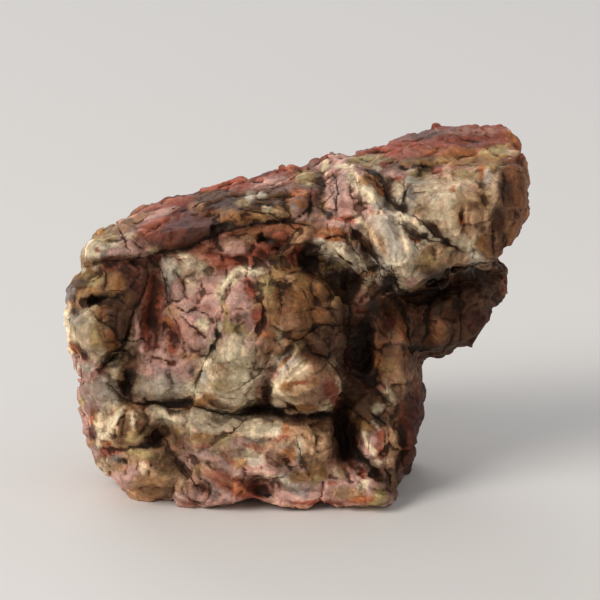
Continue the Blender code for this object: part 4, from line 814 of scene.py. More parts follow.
@dataclass
class Skin:
    """A skin as it is worked.

    Points are in millimetres, and ends are the pairs of points that an edge joins.
    """

    mesh: bpy.types.Mesh
    points: np.ndarray = field(init=False)
    normals: np.ndarray = field(init=False)
    ends: np.ndarray = field(init=False)

    def __post_init__(self) -> None:
        """Reads the mesh."""
        self.points = self.read(self.mesh.vertices, "co") / MM
        self.normals = self.read(self.mesh.vertices, "normal")
        flat = np.empty(len(self.mesh.edges) * 2, dtype=np.int64)
        self.mesh.edges.foreach_get("vertices", flat)
        self.ends = flat.reshape(-1, 2)

    @staticmethod
    def read(vertices: bpy.types.bpy_prop_collection, name: str) -> np.ndarray:
        """Reads three numbers for each vertex.

        Args:
            vertices: The mesh's vertices.
            name: What is read.

        Returns:
            The numbers, one row for each vertex.
        """
        flat = np.empty(len(vertices) * 3)
        vertices.foreach_get(name, flat)
        return flat.reshape(-1, 3)

    def settle(self) -> None:
        """Writes the points back to the mesh and takes new normals from it."""
        self.mesh.vertices.foreach_set("co", (self.points * MM).ravel())
        self.mesh.update()
        self.normals = self.read(self.mesh.vertices, "normal")

    def stand(self) -> None:
        """Brings what is below the floor up to it."""
        self.points[:, 2] = np.maximum(self.points[:, 2], 0.0)
        self.settle()

    def spread(self, values: np.ndarray, rounds: int) -> np.ndarray:
        """Averages values with those of the points next to them.

        Args:
            values: One number, or one row of numbers, for each point.
            rounds: How often they are averaged.

        Returns:
            The smoother values.
        """
        count = len(self.points)
        first, second = self.ends.T
        degree = np.bincount(first, minlength=count) + np.bincount(second, minlength=count)
        columns = values.reshape(count, -1).astype(float)
        for _ in range(rounds):
            for n, column in enumerate(columns.T.copy()):
                total = np.bincount(first, column[second], count) + np.bincount(second, column[first], count)
                columns[:, n] = (column + total / degree) / 2
        return columns.reshape(values.shape)

    def tree(self) -> BVHTree:
        """Makes the tree that rays are cast against."""
        return BVHTree.FromPolygons(self.points.tolist(), [tuple(p.vertices) for p in self.mesh.polygons])

    def keep(self, name: str, values: np.ndarray) -> None:
        """Writes one number for each point as a named attribute."""
        layer = self.mesh.attributes.get(name) or self.mesh.attributes.new(name, "FLOAT", "POINT")
        layer.data.foreach_set("value", values.astype(np.float32))


@dataclass(frozen=True)
class Drawing:
    """One side's drawing, seen by an eye 0.7 m away. A ray to it starts a little off the skin."""

    side: Side
    off_skin: float = 0.6
    off_along: float = 0.8
    ray_reach: float = 150.0
    facing: tuple[float, float] = (0.02, 0.22)

    def axes(self) -> tuple[np.ndarray, np.ndarray, np.ndarray]:
        """Finds how the drawing is turned.

        Returns:
            Its right, its up, and the way to the eye.
        """
        azimuth, elevation = (math.radians(angle) for angle in self.side.value)
        right = np.array((math.cos(azimuth), math.sin(azimuth), 0.0))
        toward = np.array((math.sin(azimuth) * math.cos(elevation), -math.cos(azimuth) * math.cos(elevation),
                           math.sin(elevation)))
        return right, np.cross(toward, right), toward

    def spots(self, points: np.ndarray) -> np.ndarray:
        """Finds where points fall on the drawing.

        Args:
            points: Places on the stone.

        Returns:
            The points' two numbers on the drawing.
        """
        right, up, toward = self.axes()
        arms = points - np.array(LOOK_AT)
        scale = EYE_DISTANCE / (EYE_DISTANCE - arms @ toward) / DRAWN
        return DRAWING_MIDDLE + np.stack((arms @ right * scale, -(arms @ up) * scale), axis=1)

    def rays(self, points: np.ndarray) -> np.ndarray:
        """Gives the way from each point to the eye."""
        arms = np.array(LOOK_AT) + self.axes()[2] * EYE_DISTANCE - points
        return arms / np.linalg.norm(arms, axis=1)[:, None]

    def sight(self, skin: Skin, tree: BVHTree) -> np.ndarray:
        """Tells how well the eye sees each point.

        Args:
            skin: The skin that it looks at.
            tree: The same skin, as rays meet it.

        Returns:
            0 where a point is hidden or turned away, and up to 1 where it faces the eye.
        """
        rays = self.rays(skin.points)
        starts = skin.points + skin.normals * self.off_skin + rays * self.off_along
        seen = ramp(np.sum(rays * skin.normals, axis=1), *self.facing)
        for n in np.flatnonzero(seen > 0):
            if tree.ray_cast(starts[n], rays[n], self.ray_reach)[0] is not None:
                seen[n] = 0.0
        return skin.spread(seen, 2)


class Wire:
    """A node's output that takes part in sums as a number does, and adds a Math node for each sum."""

    def __init__(self, bench: "Bench", socket: bpy.types.NodeSocket) -> None:
        """Holds a socket and the bench that its tree is on."""
        self.bench, self.socket = bench, socket

    def join(self, operation: str, *values: "Wire | float") -> "Wire":
        """Adds one Math node with these values."""
        names = ("Value", "Value_001", "Value_002")
        return self.bench.node("ShaderNodeMath", {"operation": operation}, dict(zip(names, values)))["Value"]

    def __add__(self, other: "Wire | float") -> "Wire":
        """Adds."""
        return self.join("ADD", self, other)

    __radd__ = __add__

    def __sub__(self, other: "Wire | float") -> "Wire":
        """Takes away."""
        return self.join("SUBTRACT", self, other)

    def __rsub__(self, other: "Wire | float") -> "Wire":
        """Takes this from a number."""
        return self.join("SUBTRACT", other, self)

    def __mul__(self, other: "Wire | float") -> "Wire":
        """Multiplies."""
        return self.join("MULTIPLY", self, other)

    __rmul__ = __mul__

    def __truediv__(self, other: "Wire | float") -> "Wire":
        """Divides."""
        return self.join("DIVIDE", self, other)

    def __rtruediv__(self, other: "Wire | float") -> "Wire":
        """Divides a number by this."""
        return self.join("DIVIDE", other, self)

    def __abs__(self) -> "Wire":
        """Drops the sign."""
        return self.join("ABSOLUTE", self)

    def at_least(self, other: "Wire | float") -> "Wire":
        """Takes the larger."""
        return self.join("MAXIMUM", self, other)

    def at_most(self, other: "Wire | float") -> "Wire":
        """Takes the smaller."""
        return self.join("MINIMUM", self, other)

    def eased(self, low: float, high: float) -> "Wire":
        """Eases this value.

        Args:
            low: The value that gives 0. It may be the larger.
            high: The value that gives 1.

        Returns:
            The eased value.
        """
        flip = low > high
        sockets = {"Value": self, "From Min": min(low, high), "From Max": max(low, high),
                   "To Min": float(flip), "To Max": float(not flip)}
        settings = {"interpolation_type": "SMOOTHSTEP"}
        return self.bench.node("ShaderNodeMapRange", settings, sockets)["Result"]


@dataclass
class Bench:
    """Adds nodes to one tree."""

    tree: bpy.types.NodeTree

    def node(self, kind: str, settings: dict[str, object], sockets: dict[str, object]) -> dict[str, Wire]:
        """Adds a node.

        Args:
            kind: The node's type.
            settings: Its own settings, which are set first.
            sockets: What each input takes, by the input's identifier: a wire or a value.

        Returns:
            Its outputs.
        """
        node = self.tree.nodes.new(kind)
        for name, value in settings.items():
            setattr(node, name, value)
        inputs = {socket.identifier: socket for socket in node.inputs}
        for name, value in sockets.items():
            if isinstance(value, Wire):
                self.tree.links.new(value.socket, inputs[name])
            else:
                inputs[name].default_value = value
        return {socket.identifier: Wire(self, socket) for socket in node.outputs}

    def blend(self, share: Wire | float, first: object, second: object, way: str = "MIX") -> Wire:
        """Mixes two colours, the second by its share."""
        sockets = {"Factor_Float": share, "A_Color": first, "B_Color": second}
        return self.node("ShaderNodeMix", {"data_type": "RGBA", "blend_type": way}, sockets)["Result_Color"]

    def vector(self, operation: str, first: object, second: object) -> Wire:
        """Adds one Vector Math node. Scale takes a number second."""
        sockets = {"Vector": first, "Scale" if operation == "SCALE" else "Vector_001": second}
        return self.node("ShaderNodeVectorMath", {"operation": operation}, sockets)["Vector"]

    def bent(self, where: Wire, texture: Wire, reach: float) -> Wire:
        """Shifts places by a coloured texture, each way by up to half the reach."""
        shift = self.vector("SCALE", self.vector("SUBTRACT", texture, (0.5,) * 3), reach)
        return self.vector("ADD", where, shift)

    def noise(self, where: Wire, size: Wire | float, detail: float = 4.0,
              rough: float = 0.55) -> dict[str, Wire]:
        """Adds a Noise Texture whose largest clouds are as wide as size."""
        sockets = {"Vector": where, "Scale": 1 / size, "Detail": detail, "Roughness": rough}
        return self.node("ShaderNodeTexNoise", {}, sockets)

    def ridges(self, where: Wire, size: Wire | float, detail: float, top: float) -> Wire:
        """Adds a Noise Texture of sharp crests, about 1 high and cut off at the top.

        Args:
            where: The places that it reads.
            size: How wide the largest crests are.
            detail: How many ever finer layers it has.
            top: Where they are cut off.

        Returns:
            Their height.
        """
        settings = {"noise_type": "RIDGED_MULTIFRACTAL", "normalize": False}
        sockets = {"Vector": where, "Scale": 1 / size, "Detail": detail, "Roughness": 0.5, "Offset": 0.9}
        return self.node("ShaderNodeTexNoise", settings, sockets)["Fac"].at_most(top)

    def cells(self, where: Wire, size: Wire | float, feature: str, **more: float) -> dict[str, Wire]:
        """Adds a Voronoi Texture whose cells are as wide as size."""
        sockets = {"Vector": where, "Scale": 1 / size, **more}
        return self.node("ShaderNodeTexVoronoi", {"feature": feature}, sockets)

    def gaps(self, where: Wire, size: Wire | float) -> Wire:
        """Measures how far places are from the joints between cells as wide as size."""
        return self.cells(where, size, "DISTANCE_TO_EDGE")["Distance"] * size

    def split(self, colour: Wire) -> dict[str, Wire]:
        """Parts a colour into Red, Green and Blue."""
        return self.node("ShaderNodeSeparateColor", {}, {"Color": colour})


RELIEF_SIZES = ("Plate Size", "Plate Height", "Facet Tilt", "Crease Width", "Crease Depth", "Fold Size",
                "Fold Height", "Grain Size", "Grain Height")


@dataclass(frozen=True)
class FoldedRelief:
    """The relief that is laid over the whole skin: plates parted by creases, folds like petals, and grain.

    Sizes are in millimetres. A skin's calm attribute, from 0 to 1, holds the plates and folds back. Facets
    are a share of the plate size, a share of the tilt and how soft they are.
    """

    plate_size: float = 8.5
    plate_height: float = 0.35
    facet_tilt: float = 0.5
    crease_width: float = 0.4
    crease_depth: float = 0.55
    fold_size: float = 9.0
    fold_height: float = 0.8
    grain_size: float = 1.8
    grain_height: float = 0.14
    seed: int = 11
    bend_size: float = 6.0
    bend_reach: float = 5.0
    open_size: float = 14.0
    open_from: tuple[float, float] = (0.45, 0.6)
    facets: tuple[tuple[float, float, float], ...] = ((1.0, 1.0, 0.2), (0.42, 0.8, 0.25))
    plate_round: float = 0.3
    fold_top: float = 2.2
    plates_kept: float = 0.35
    grain_kept: float = 0.4
    most_lift: float = 0.9

    def tree(self) -> bpy.types.NodeTree:
        """Builds the Geometry Nodes tree, whose inputs carry this relief's sizes.

        Returns:
            The tree. It moves each point along its normal and stores the distance to the nearest crease as
            the joint attribute.
        """
        tree = bpy.data.node_groups.new("FoldedRelief", "GeometryNodeTree")
        tree.interface.new_socket("Skin", in_out="INPUT", socket_type="NodeSocketGeometry")
        for name in RELIEF_SIZES:
            tree.interface.new_socket(name, in_out="INPUT", socket_type="NodeSocketFloat")
        tree.interface.new_socket("Seed", in_out="INPUT", socket_type="NodeSocketInt")
        tree.interface.new_socket("Finish", in_out="INPUT", socket_type="NodeSocketMaterial")
        tree.interface.new_socket("Skin", in_out="OUTPUT", socket_type="NodeSocketGeometry")
        bench = Bench(tree)
        entry = tree.nodes.new("NodeGroupInput")
        given = {socket.name: Wire(bench, socket) for socket in entry.outputs}
        place = bench.node("GeometryNodeInputPosition", {}, {})["Position"]
        where = bench.vector("SCALE", place, 1 / MM)
        shift = bench.node("ShaderNodeCombineXYZ", {}, {"X": given["Seed"] * 13.7, "Y": given["Seed"] * 5.3})
        where = bench.vector("ADD", where, shift["Vector"])
        bent = bench.bent(where, bench.noise(where, self.bend_size, 3.0)["Color"], self.bend_reach)
        calm = bench.node("GeometryNodeInputNamedAttribute", {"data_type": "FLOAT"}, {"Name": "calm"})
        loud = 1 - calm["Attribute"]

        joint = bench.gaps(bent, given["Plate Size"])
        plates = given["Plate Height"] * (joint / given["Plate Size"]).at_most(self.plate_round) * 2.0
        for share, steep, soft in self.facets:
            chip = bench.cells(bent, given["Plate Size"] * share, "SMOOTH_F1", Smoothness=soft)
            lean = bench.vector("SUBTRACT", chip["Color"], (0.5,) * 3)
            arm = bench.vector("SUBTRACT", bent, chip["Position"])
            dot = bench.node("ShaderNodeVectorMath", {"operation": "DOT_PRODUCT"},
                             {"Vector": arm, "Vector_001": lean})
            tilted = dot["Value"] * (given["Facet Tilt"] * steep)
            plates = plates + tilted.at_most(self.most_lift).at_least(-self.most_lift)
        open_here = bench.noise(where, self.open_size, 2.0)["Fac"].eased(*self.open_from)
        crease = given["Crease Depth"] * (joint / given["Crease Width"]).eased(1.6, 0.0) * open_here

        petals = bench.ridges(bent, given["Fold Size"], 2.0, self.fold_top)
        folds = given["Fold Height"] * (petals - 1.0) * 0.6
        rough = bench.noise(where, given["Grain Size"], 3.0, 0.6)["Fac"] - 0.5
        lift = plates * (self.plates_kept + (1 - self.plates_kept) * loud) + (folds - crease) * loud
        lift = lift + given["Grain Height"] * rough * (self.grain_kept + (1 - self.grain_kept) * loud)
        lift = lift.at_most(self.most_lift)
        normal = bench.node("GeometryNodeInputNormal", {}, {})["Normal"]
        moved = bench.node("GeometryNodeSetPosition", {}, {
            "Geometry": given["Skin"], "Offset": bench.vector("SCALE", normal, lift * MM)})["Geometry"]
        stored = {"Geometry": moved, "Name": "joint", "Value": joint + (1 - open_here * loud) * 0.6}
        each_point = {"data_type": "FLOAT", "domain": "POINT"}
        marked = bench.node("GeometryNodeStoreNamedAttribute", each_point, stored)
        real = bench.node("GeometryNodeRealizeInstances", {}, {"Geometry": marked["Geometry"]})["Geometry"]
        dressed = bench.node("GeometryNodeSetMaterial", {}, {"Geometry": real, "Material": given["Finish"]})
        exit_node = tree.nodes.new("NodeGroupOutput")
        tree.links.new(dressed["Geometry"].socket, exit_node.inputs[0])
        return tree

    def values(self, finish: bpy.types.Material) -> dict[str, object]:
        """Gives what each named input of the tree takes."""
        sizes = {name: getattr(self, name.lower().replace(" ", "_")) for name in RELIEF_SIZES}
        return {**sizes, "Seed": self.seed, "Finish": finish}

    def lay(self, piece: bpy.types.Object, finish: bpy.types.Material) -> None:
        """Lays the relief on a piece and turns the result into its plain mesh.

        Args:
            piece: The piece, with a calm attribute on its mesh.
            finish: The material that it is set to.
        """
        tree = self.tree()
        modifier = piece.modifiers.new("relief", "NODES")
        modifier.node_group = tree
        names = {item.name: item.identifier for item in tree.interface.items_tree if item.in_out == "INPUT"}
        for name, value in self.values(finish).items():
            modifier[names[name]] = value
        flatten(piece)
        bpy.data.node_groups.remove(tree)


def flatten(piece: bpy.types.Object) -> None:
    """Turns a piece and its modifiers into one plain mesh.

    Args:
        piece: The piece.
    """
    bpy.context.view_layer.update()
    graph = bpy.context.evaluated_depsgraph_get()
    mesh = bpy.data.meshes.new_from_object(piece.evaluated_get(graph), depsgraph=graph)
    piece.modifiers.clear()
    old, piece.data = piece.data, mesh
    bpy.data.meshes.remove(old)


@dataclass(frozen=True)
class FlowerQuartz:
    """The finish: waxy quartz, stained by the minerals that lie on the skin. Sizes are in millimetres."""

    colours: dict[Mineral, tuple[int, int, int]] = field(default_factory=lambda: {
        ROSE: (208, 164, 150), RED: (166, 92, 70), WINE: (100, 52, 38), RUST: (180, 114, 72),
        OCHRE: (172, 128, 80), OLIVE: (190, 164, 112), TAN: (186, 144, 108), BROWN: (108, 78, 52),
        CREAM: (244, 222, 184), BONE: (218, 204, 182), GREY: (132, 124, 118), INK: (48, 36, 28),
    })
    # A dark colour for the cracks, the dots and real grime, and for the painted shade in hollows and
    # sheltered places.
    dirt_and_shade: tuple[int, int, int] = (46, 35, 27)
    chalk: tuple[int, int, int] = (228, 206, 174)
    # Colours multiplied in: the films', as grime and painted shade, and the warm tint laid as painted shade
    # in the hollows.
    film: tuple[int, int, int] = (180, 152, 132)
    glaze_and_shade: tuple[int, int, int] = (194, 166, 148)
    ruddy: tuple[float, float, float, float] = (1.20, 0.88, 0.80, 1.0)
    sallow: tuple[float, float, float, float] = (0.94, 1.06, 1.00, 1.0)
    ragged: tuple[tuple[float, float], ...] = ((2.6, 4.0), (0.8, 3.0))
    rag: tuple[float, float] = (1.6, 1.2)
    rag_share: float = 0.7
    least_share: float = 0.04
    sharpness: float = 1.25
    bend: float = 2.4
    tone: tuple[float, float, float, float] = (0.39, 0.4, 0.56, 0.3)
    broad_size: float = 7.0
    mottle_size: float = 1.7
    speckle_size: float = 0.35
    chips: tuple[tuple[float, float], ...] = ((2.3, 0.45), (0.95, 0.32))
    vein_size: float = 3.1
    hair_size: float = 2.3
    dot_size: float = 1.5
    wrinkle_size: float = 3.2
    wrinkle_stretch: tuple[float, float, float] = (0.6, 0.8, 1.3)
    wrinkle_top: float = 2.4
    bump: float = 0.85
    bump_reach: float = 0.0008
    coat: float = 0.03
    coat_roughness: float = 0.3
    specular: float = 0.15

    def material(self) -> bpy.types.Material:
        """Builds the material.

        Returns:
            The material, which reads the skin's own attributes and its object coordinates.
        """
        material = bpy.data.materials.new("flower_quartz_stone")
        material.use_nodes = True
        material.node_tree.nodes.clear()
        paint = QuartzPaint(self, Bench(material.node_tree))
        for step in (paint.shade, paint.chip, paint.whiten, paint.crack, paint.soil_and_shade, paint.dot):
            step()
        paint.finish_off()
        return material


class QuartzPaint:
    """The quartz finish while it is mixed: the patterns that its steps share, and the colour so far."""

    def __init__(self, finish: FlowerQuartz, bench: Bench) -> None:
        """Lays out the patterns, and mixes the minerals.

        Args:
            finish: The finish, with its colours and sizes.
            bench: Where the material's nodes are added.
        """
        self.finish, self.bench = finish, bench
        place = bench.node("ShaderNodeTexCoord", {}, {})["Object"]
        self.where = bench.vector("SCALE", place, 1 / MM)
        wide, fine = (bench.noise(self.where, size, detail, 0.6)["Color"] for size, detail in finish.ragged)
        self.wide, self.fine = ([parts[name] - 0.5 for name in ("Red", "Green", "Blue")]
                                for parts in (bench.split(wide), bench.split(fine)))
        self.bent = bench.bent(self.where, wide, finish.bend)
        self.broad = bench.noise(self.where, finish.broad_size, 3.0)["Fac"]
        self.mottle = bench.noise(self.bent, finish.mottle_size, 5.0, 0.65)["Fac"]
        self.speckle = bench.noise(self.where, finish.speckle_size, 2.0, 0.6)["Fac"]
        self.hollow, self.shelter = self.share("hollow"), self.share("shelter")
        self.fair = (self.share("cream") + self.share("bone")).at_most(1.0)
        self.still = (self.share("calm") - 0.2).at_least(0.0).at_least(self.fair * 0.6)
        self.tint = self.minerals()

    def share(self, name: str) -> Wire:
        """Reads one attribute of the skin."""
        return self.bench.node("ShaderNodeAttribute", {"attribute_name": name}, {})["Fac"]

    def lay(self, share: Wire | float, colour: object) -> None:
        """Lays a colour over the colour so far by its share."""
        self.tint = self.bench.blend(share, self.tint, colour)

    def toned(self, colour: tuple[int, int, int]) -> Wire:
        """Gives the colour so far as it looks through a film of another."""
        return self.bench.blend(1.0, self.tint, linear(*colour), "MULTIPLY")

    def minerals(self) -> Wire:
        """Mixes the minerals' colours by their shares, whose edges are ragged.

        Returns:
            The mix.
        """
        tint, total = None, None
        far, close = self.finish.rag
        for n, mineral in enumerate(Mineral):
            own = self.share(mineral.value)
            rag = self.wide[n % 3] * (-far if n % 2 else far) + self.fine[n // 3 % 3] * close
            rag = rag * (own * 3.0).at_most(1.0) * self.finish.rag_share
            won = (own + rag - self.finish.least_share).at_least(0.0)
            won = won.join("POWER", won, self.finish.sharpness)
            light = self.bench.vector("SCALE", linear(*self.finish.colours[mineral])[:3], won)
            tint = light if tint is None else self.bench.vector("ADD", tint, light)
            total = won if total is None else total + won
        return self.bench.vector("SCALE", tint, 1.0 / (total + 0.0001))

    def shade(self) -> None:
        """Clouds the colour, and darkens it under films of old grime and painted shade."""
        base, broad, mottle, speckle = self.finish.tone
        tone = base + broad * self.broad + mottle * self.mottle + speckle * self.speckle
        self.tint = self.bench.vector("SCALE", self.tint, tone)
        film = (self.share("film") + self.wide[1] * 0.5).eased(-0.1, 1.0)
        self.lay(film, self.toned(self.finish.film))

    def chip(self) -> None:
        """Gives each small grain its own turn towards red or green, and its own lightness."""
        for size, strength in self.finish.chips:
            grain = self.bench.split(self.bench.cells(self.bent, size, "SMOOTH_F1", Smoothness=0.35)["Color"])
            hue = self.bench.blend(grain["Red"], self.finish.ruddy, self.finish.sallow)
            strength = strength * (1 - self.still * 0.7)
            self.lay(strength, self.bench.vector("MULTIPLY", self.tint, hue))
            self.tint = self.bench.vector("SCALE", self.tint, 1 + strength * (grain["Green"] - 0.5))

    def whiten(self) -> None:
        """Lightens crests, as wear and as a painted highlight, and draws pale veins in the rose and red
        quartz.
        """
        chalk = linear(*self.finish.chalk)
        # A lighter copy of the colour so far: on the crests it is laid as a painted highlight.
        self.pale = self.bench.blend(0.03, self.bench.vector("SCALE", self.tint, 1.5), chalk)
        self.lay((self.share("crest") * 0.8 + self.mottle - 0.62).eased(0.0, 0.45) * 0.6, self.pale)
        veins = self.bench.gaps(self.bent, self.finish.vein_size)
        warm = self.share("rose") + self.share("red")
        veined = veins.eased(0.16, 0.03) * self.broad.eased(0.5, 0.62) * warm
        self.lay(veined * 0.2, chalk)

    def crack(self) -> None:
        """Finds the hairlines, the plates' joints and the inked cracks, and lightens the cracks' rims."""
        broken = (self.mottle + self.fine[1] * 0.6).eased(0.46, 0.56)
        hairline = self.bench.gaps(self.bent, self.finish.hair_size).eased(0.07, 0.01) * broken
        jointed = (self.share("joint") + self.fine[0] * 0.5).eased(0.20, 0.04)
        jointed = jointed * (self.broad + self.wide[2]).eased(0.42, 0.6)
        near, ink = self.share("near"), self.share("ink")
        edge = abs(self.share("seam")) + self.fine[2] * 1.8 + self.wide[1] * 1.2
        kept = (self.mottle * 0.9 + self.wide[2] * 0.5 + ink * 0.36).eased(0.5, 0.72)
        self.line = edge.eased(1.4, 0.5) * near.eased(1.3, 0.8) * ink * kept
        rim = edge.eased(1.2, 2.0) * edge.eased(4.6, 2.4) * near.eased(2.2, 1.2) * ink * broken
        self.lay(rim * 0.6, self.pale)
        self.hairline, self.jointed = hairline * (1 - self.still * 0.6), jointed * (1 - self.still * 0.8)

    def soil_and_shade(self) -> None:
        """Darkens hollows and sheltered places as painted shade, with real staining, and blackens the cracks.
        """
        # Painted shade: a warm darker tint over the hollows and the sheltered places, broken up by clouds.
        stain_and_shade = self.hollow * 0.8 + self.shelter * 0.5 + self.wide[0] * 0.9 + self.fine[1] * 0.4
        less_on_fair = 1 - 0.7 * (self.share("cream") + self.share("bone") + self.share("olive")).at_most(1.0)
        self.lay(stain_and_shade.eased(0.05, 0.85) * 0.8 * less_on_fair, self.toned(self.finish.glaze_and_shade))
        # Painted shade with the cracks: the deep hollows and sheltered places go dark, as do the hairlines,
        # joints and inked lines.
        soot_and_shade = (self.hollow + self.wide[0] * 0.7 + self.fine[1] * 0.5).eased(0.55, 1.1)
        deep = (self.shelter + self.wide[2] * 0.4).eased(0.45, 0.95)
        self.dark = (self.hairline * 0.3).at_least(self.jointed * 0.42).at_least(
            (soot_and_shade * 0.7).at_least(deep * 0.8) * (1 - self.fair * 0.4))
        self.lay(self.dark.at_least(self.line * 0.9), linear(*self.finish.dirt_and_shade))

    def dot(self) -> None:
        """Scatters small dots: dark ones, and chalky ones on the fair quartz."""
        dots = self.bench.cells(self.bent, self.finish.dot_size, "F1")
        dot = (dots["Distance"] * self.finish.dot_size).eased(0.17, 0.09)
        chance = self.bench.split(dots["Color"])
        dirty = chance["Red"].eased(0.78, 0.82) * (1 - 0.7 * self.fair) * 0.6
        self.lay(dot * dirty, linear(*self.finish.dirt_and_shade))
        self.lay(dot * chance["Green"].eased(0.8, 0.84) * self.fair * 0.5, linear(*self.finish.chalk))

    def finish_off(self) -> None:
        """Adds the gloss and the bumps, and the surface that they make with the colour."""
        rough = 0.40 + 0.22 * self.mottle + 0.3 * self.dark
        stretched = self.bench.vector("MULTIPLY", self.bent, self.finish.wrinkle_stretch)
        wrinkle = self.bench.ridges(stretched, self.finish.wrinkle_size, 3.0, self.finish.wrinkle_top)
        height = self.mottle * 0.5 + self.speckle * 0.22 + wrinkle * 0.22
        height = height - self.hairline * 0.25 - self.line * 0.6 - self.jointed * 0.3
        bump = self.bench.node("ShaderNodeBump", {}, {
            "Strength": self.finish.bump, "Distance": self.finish.bump_reach, "Height": height})
        surface = self.bench.node("ShaderNodeBsdfPrincipled", {}, {
            "Base Color": self.tint, "Roughness": rough, "Normal": bump["Normal"],
            "Coat Weight": self.finish.coat, "Coat Roughness": self.finish.coat_roughness,
            "Specular IOR Level": self.finish.specular})
        self.bench.node("ShaderNodeOutputMaterial", {}, {"Surface": surface["BSDF"]})


# How common each mineral is where nothing is drawn, and how wide its drifts are in millimetres.
DRIFTS = {
    ROSE: (0.55, 16.0), RED: (0.45, 13.0), WINE: (0.05, 15.0), RUST: (0.30, 9.0), OCHRE: (0.35, 12.0),
    OLIVE: (0.15, 14.0), TAN: (0.55, 18.0), BROWN: (0.15, 11.0), CREAM: (0.45, 11.0), BONE: (0.15, 10.0),
    GREY: (-0.15, 9.0), INK: (-0.45, 7.0),
}


@dataclass
class QuartzFlower:
    """The stone itself: one natural piece, on the place of its plain solid."""

    grain: float = 0.55
    smooth_rounds: int = 3
    most_triangles: int = 196_000
    wander: float = 1.3
    wander_sizes: tuple[float, float] = (2.2, 0.9)
    swirl: float = 26.0
    swirl_size: float = 17.0
    lump_gain: float = 1.5
    lump_fall: float = 1.6
    front_edge: tuple[float, float] = (0.15, 0.45)
    blur_rounds: int = 12
    fold_profile: tuple[tuple[float, float], ...] = ((0.7, 0.7), (2.6, 0.45))
    crack_reach: float = 9.0
    seam_share: float = 0.36
    far_seam: float = 6.0
    far_gap: float = 9.0
    patch_edge: tuple[float, float] = (0.5, 1.5)
    film_edge: tuple[float, float] = (0.5, 1.35)
    in_sight: tuple[float, float] = (0.03, 0.3)
    front_calm: float = 0.4
    drift_calm: float = 0.6
    calm_size: float = 20.0
    drift_gain: float = 3.8
    drift_stretch: tuple[float, float, float] = (0.8, 1.0, 1.25)
    hollows: tuple[tuple[int, float], ...] = ((5, 0.12), (40, 0.75))
    most_mark: float = 1.5
    shelter_reach: float = 9.0
    ray_slants: tuple[float, ...] = (0.25, 0.5, 0.65, 0.78, 0.88, 0.94)
    ray_turn: float = 2.4
    ray_start: float = 0.5
    askew: tuple[float, float, float] = (0.31, 0.52, 0.79)
    foot_edge: tuple[float, float] = (-1.5, -0.6)
    thin_levels: int = 10
    relief: FoldedRelief = field(default_factory=FoldedRelief)
    finish: FlowerQuartz = field(default_factory=FlowerQuartz)

    def blank(self) -> bpy.types.Object:
        """Makes a fine even skin over the plain solid.

        Returns:
            The piece, at the origin.
        """
        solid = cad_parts[NODE]
        mesh = solid.data.copy()
        piece = bpy.data.objects.new("quartz_flower", mesh)
        bpy.context.scene.collection.objects.link(piece)
        mesh.materials.clear()
        weld = piece.modifiers.new("weld", "WELD")
        weld.merge_threshold = 1e-6
        round_off = piece.modifiers.new("round_off", "SUBSURF")
        round_off.levels = round_off.render_levels = 2
        even = piece.modifiers.new("even", "REMESH")
        even.mode = "VOXEL"
        even.voxel_size = self.grain * MM
        smooth = piece.modifiers.new("smooth", "SMOOTH")
        smooth.factor = 0.5
        smooth.iterations = self.smooth_rounds
        flatten(piece)
        return piece

    def stray(self, skin: Skin, side: Side) -> np.ndarray:
        """Finds where points fall on a drawing, shifted so that what is drawn wanders.

        Args:
            skin: The skin.
            side: The side whose drawing it is.

        Returns:
            The points' two numbers on the drawing.
        """
        wide, fine = self.wander_sizes
        swirl = 0.0 if side is Side.FRONT else self.swirl
        shift = [self.wander * (cloud(skin.points, wide, seed) + 0.5 * cloud(skin.points, fine, seed + 5))
                 + swirl * cloud(skin.points, self.swirl_size, seed + 20, 2) for seed in (3, 4)]
        return Drawing(side).spots(skin.points) + np.stack(shift, axis=1)

    def carve(self, skin: Skin) -> dict[Side, np.ndarray]:
        """Raises the lumps and cuts the cracks that are drawn on each side.

        Args:
            skin: The fine skin.

        Returns:
            How well each side's eye sees each point, before the carving. What the front sees is the front's.
        """
        tree = skin.tree()
        sights = {}
        moves = np.zeros_like(skin.points)
        for side in Side:
            drawing = Drawing(side)
            sight = drawing.sight(skin, tree)
            if sights:
                hidden = 1 - ramp(sights[Side.FRONT], *self.front_edge)
                sight = skin.spread(sight * hidden, self.blur_rounds)
            sights[side] = sight
            spots = self.stray(skin, side)
            lift = np.zeros(len(spots))
            for boss in (b for b in BOSSES if b.side is side):
                lift += self.lump_gain * boss.amount * np.exp(-self.lump_fall * boss.reach(spots) ** 2)
            for fold in (f for f in FOLDS if f.side is side):
                near, gaps, taper = self.follow(fold, spots, sight)
                profile = sum(share * np.exp(-(gaps / (fold.width * times)) ** 2)
                              for times, share in self.fold_profile)
                lift[near] += fold.height * taper * profile
                if fold.step:
                    lift[near] += fold.step * taper * (gaps < 0) * np.exp(gaps / self.crack_reach)
            moves += drawing.rays(skin.points) * (lift * sight)[:, None]
        skin.points += moves
        skin.settle()
        return sights

    def pull(self, skin: Skin) -> None:
        """Moves whole regions of the rock a little, as a sculptor grabs clay.

        Args:
            skin: The fine skin.
        """
        for pull in PULLS:
            far = np.linalg.norm(skin.points - np.array(pull.at), axis=1) / pull.reach
            skin.points += np.clip(1 - far ** 2, 0, 1)[:, None] ** 2 * np.array(pull.by)
        skin.settle()

    def calm(self, skin: Skin, sights: dict[Side, np.ndarray]) -> np.ndarray:
        """Tells how far the overall relief is held back at each point.

        Args:
            skin: The carved skin.
            sights: How well each side's eye sees the points.

        Returns:
            From 0, where the relief is full, to 1, where there is none.
        """
        drifts = ramp(cloud(skin.points, self.calm_size, 91), 0.0, 0.7)
        calm = np.maximum(self.front_calm * sights[Side.FRONT], self.drift_calm * drifts)
        for quiet in QUIETS:
            held = 1 - ramp(quiet.reach(Drawing(quiet.side).spots(skin.points)), 0.6, 1.25)
            calm = np.maximum(calm, quiet.amount * ramp(sights[quiet.side], 0.0, 0.6) * held)
        return calm

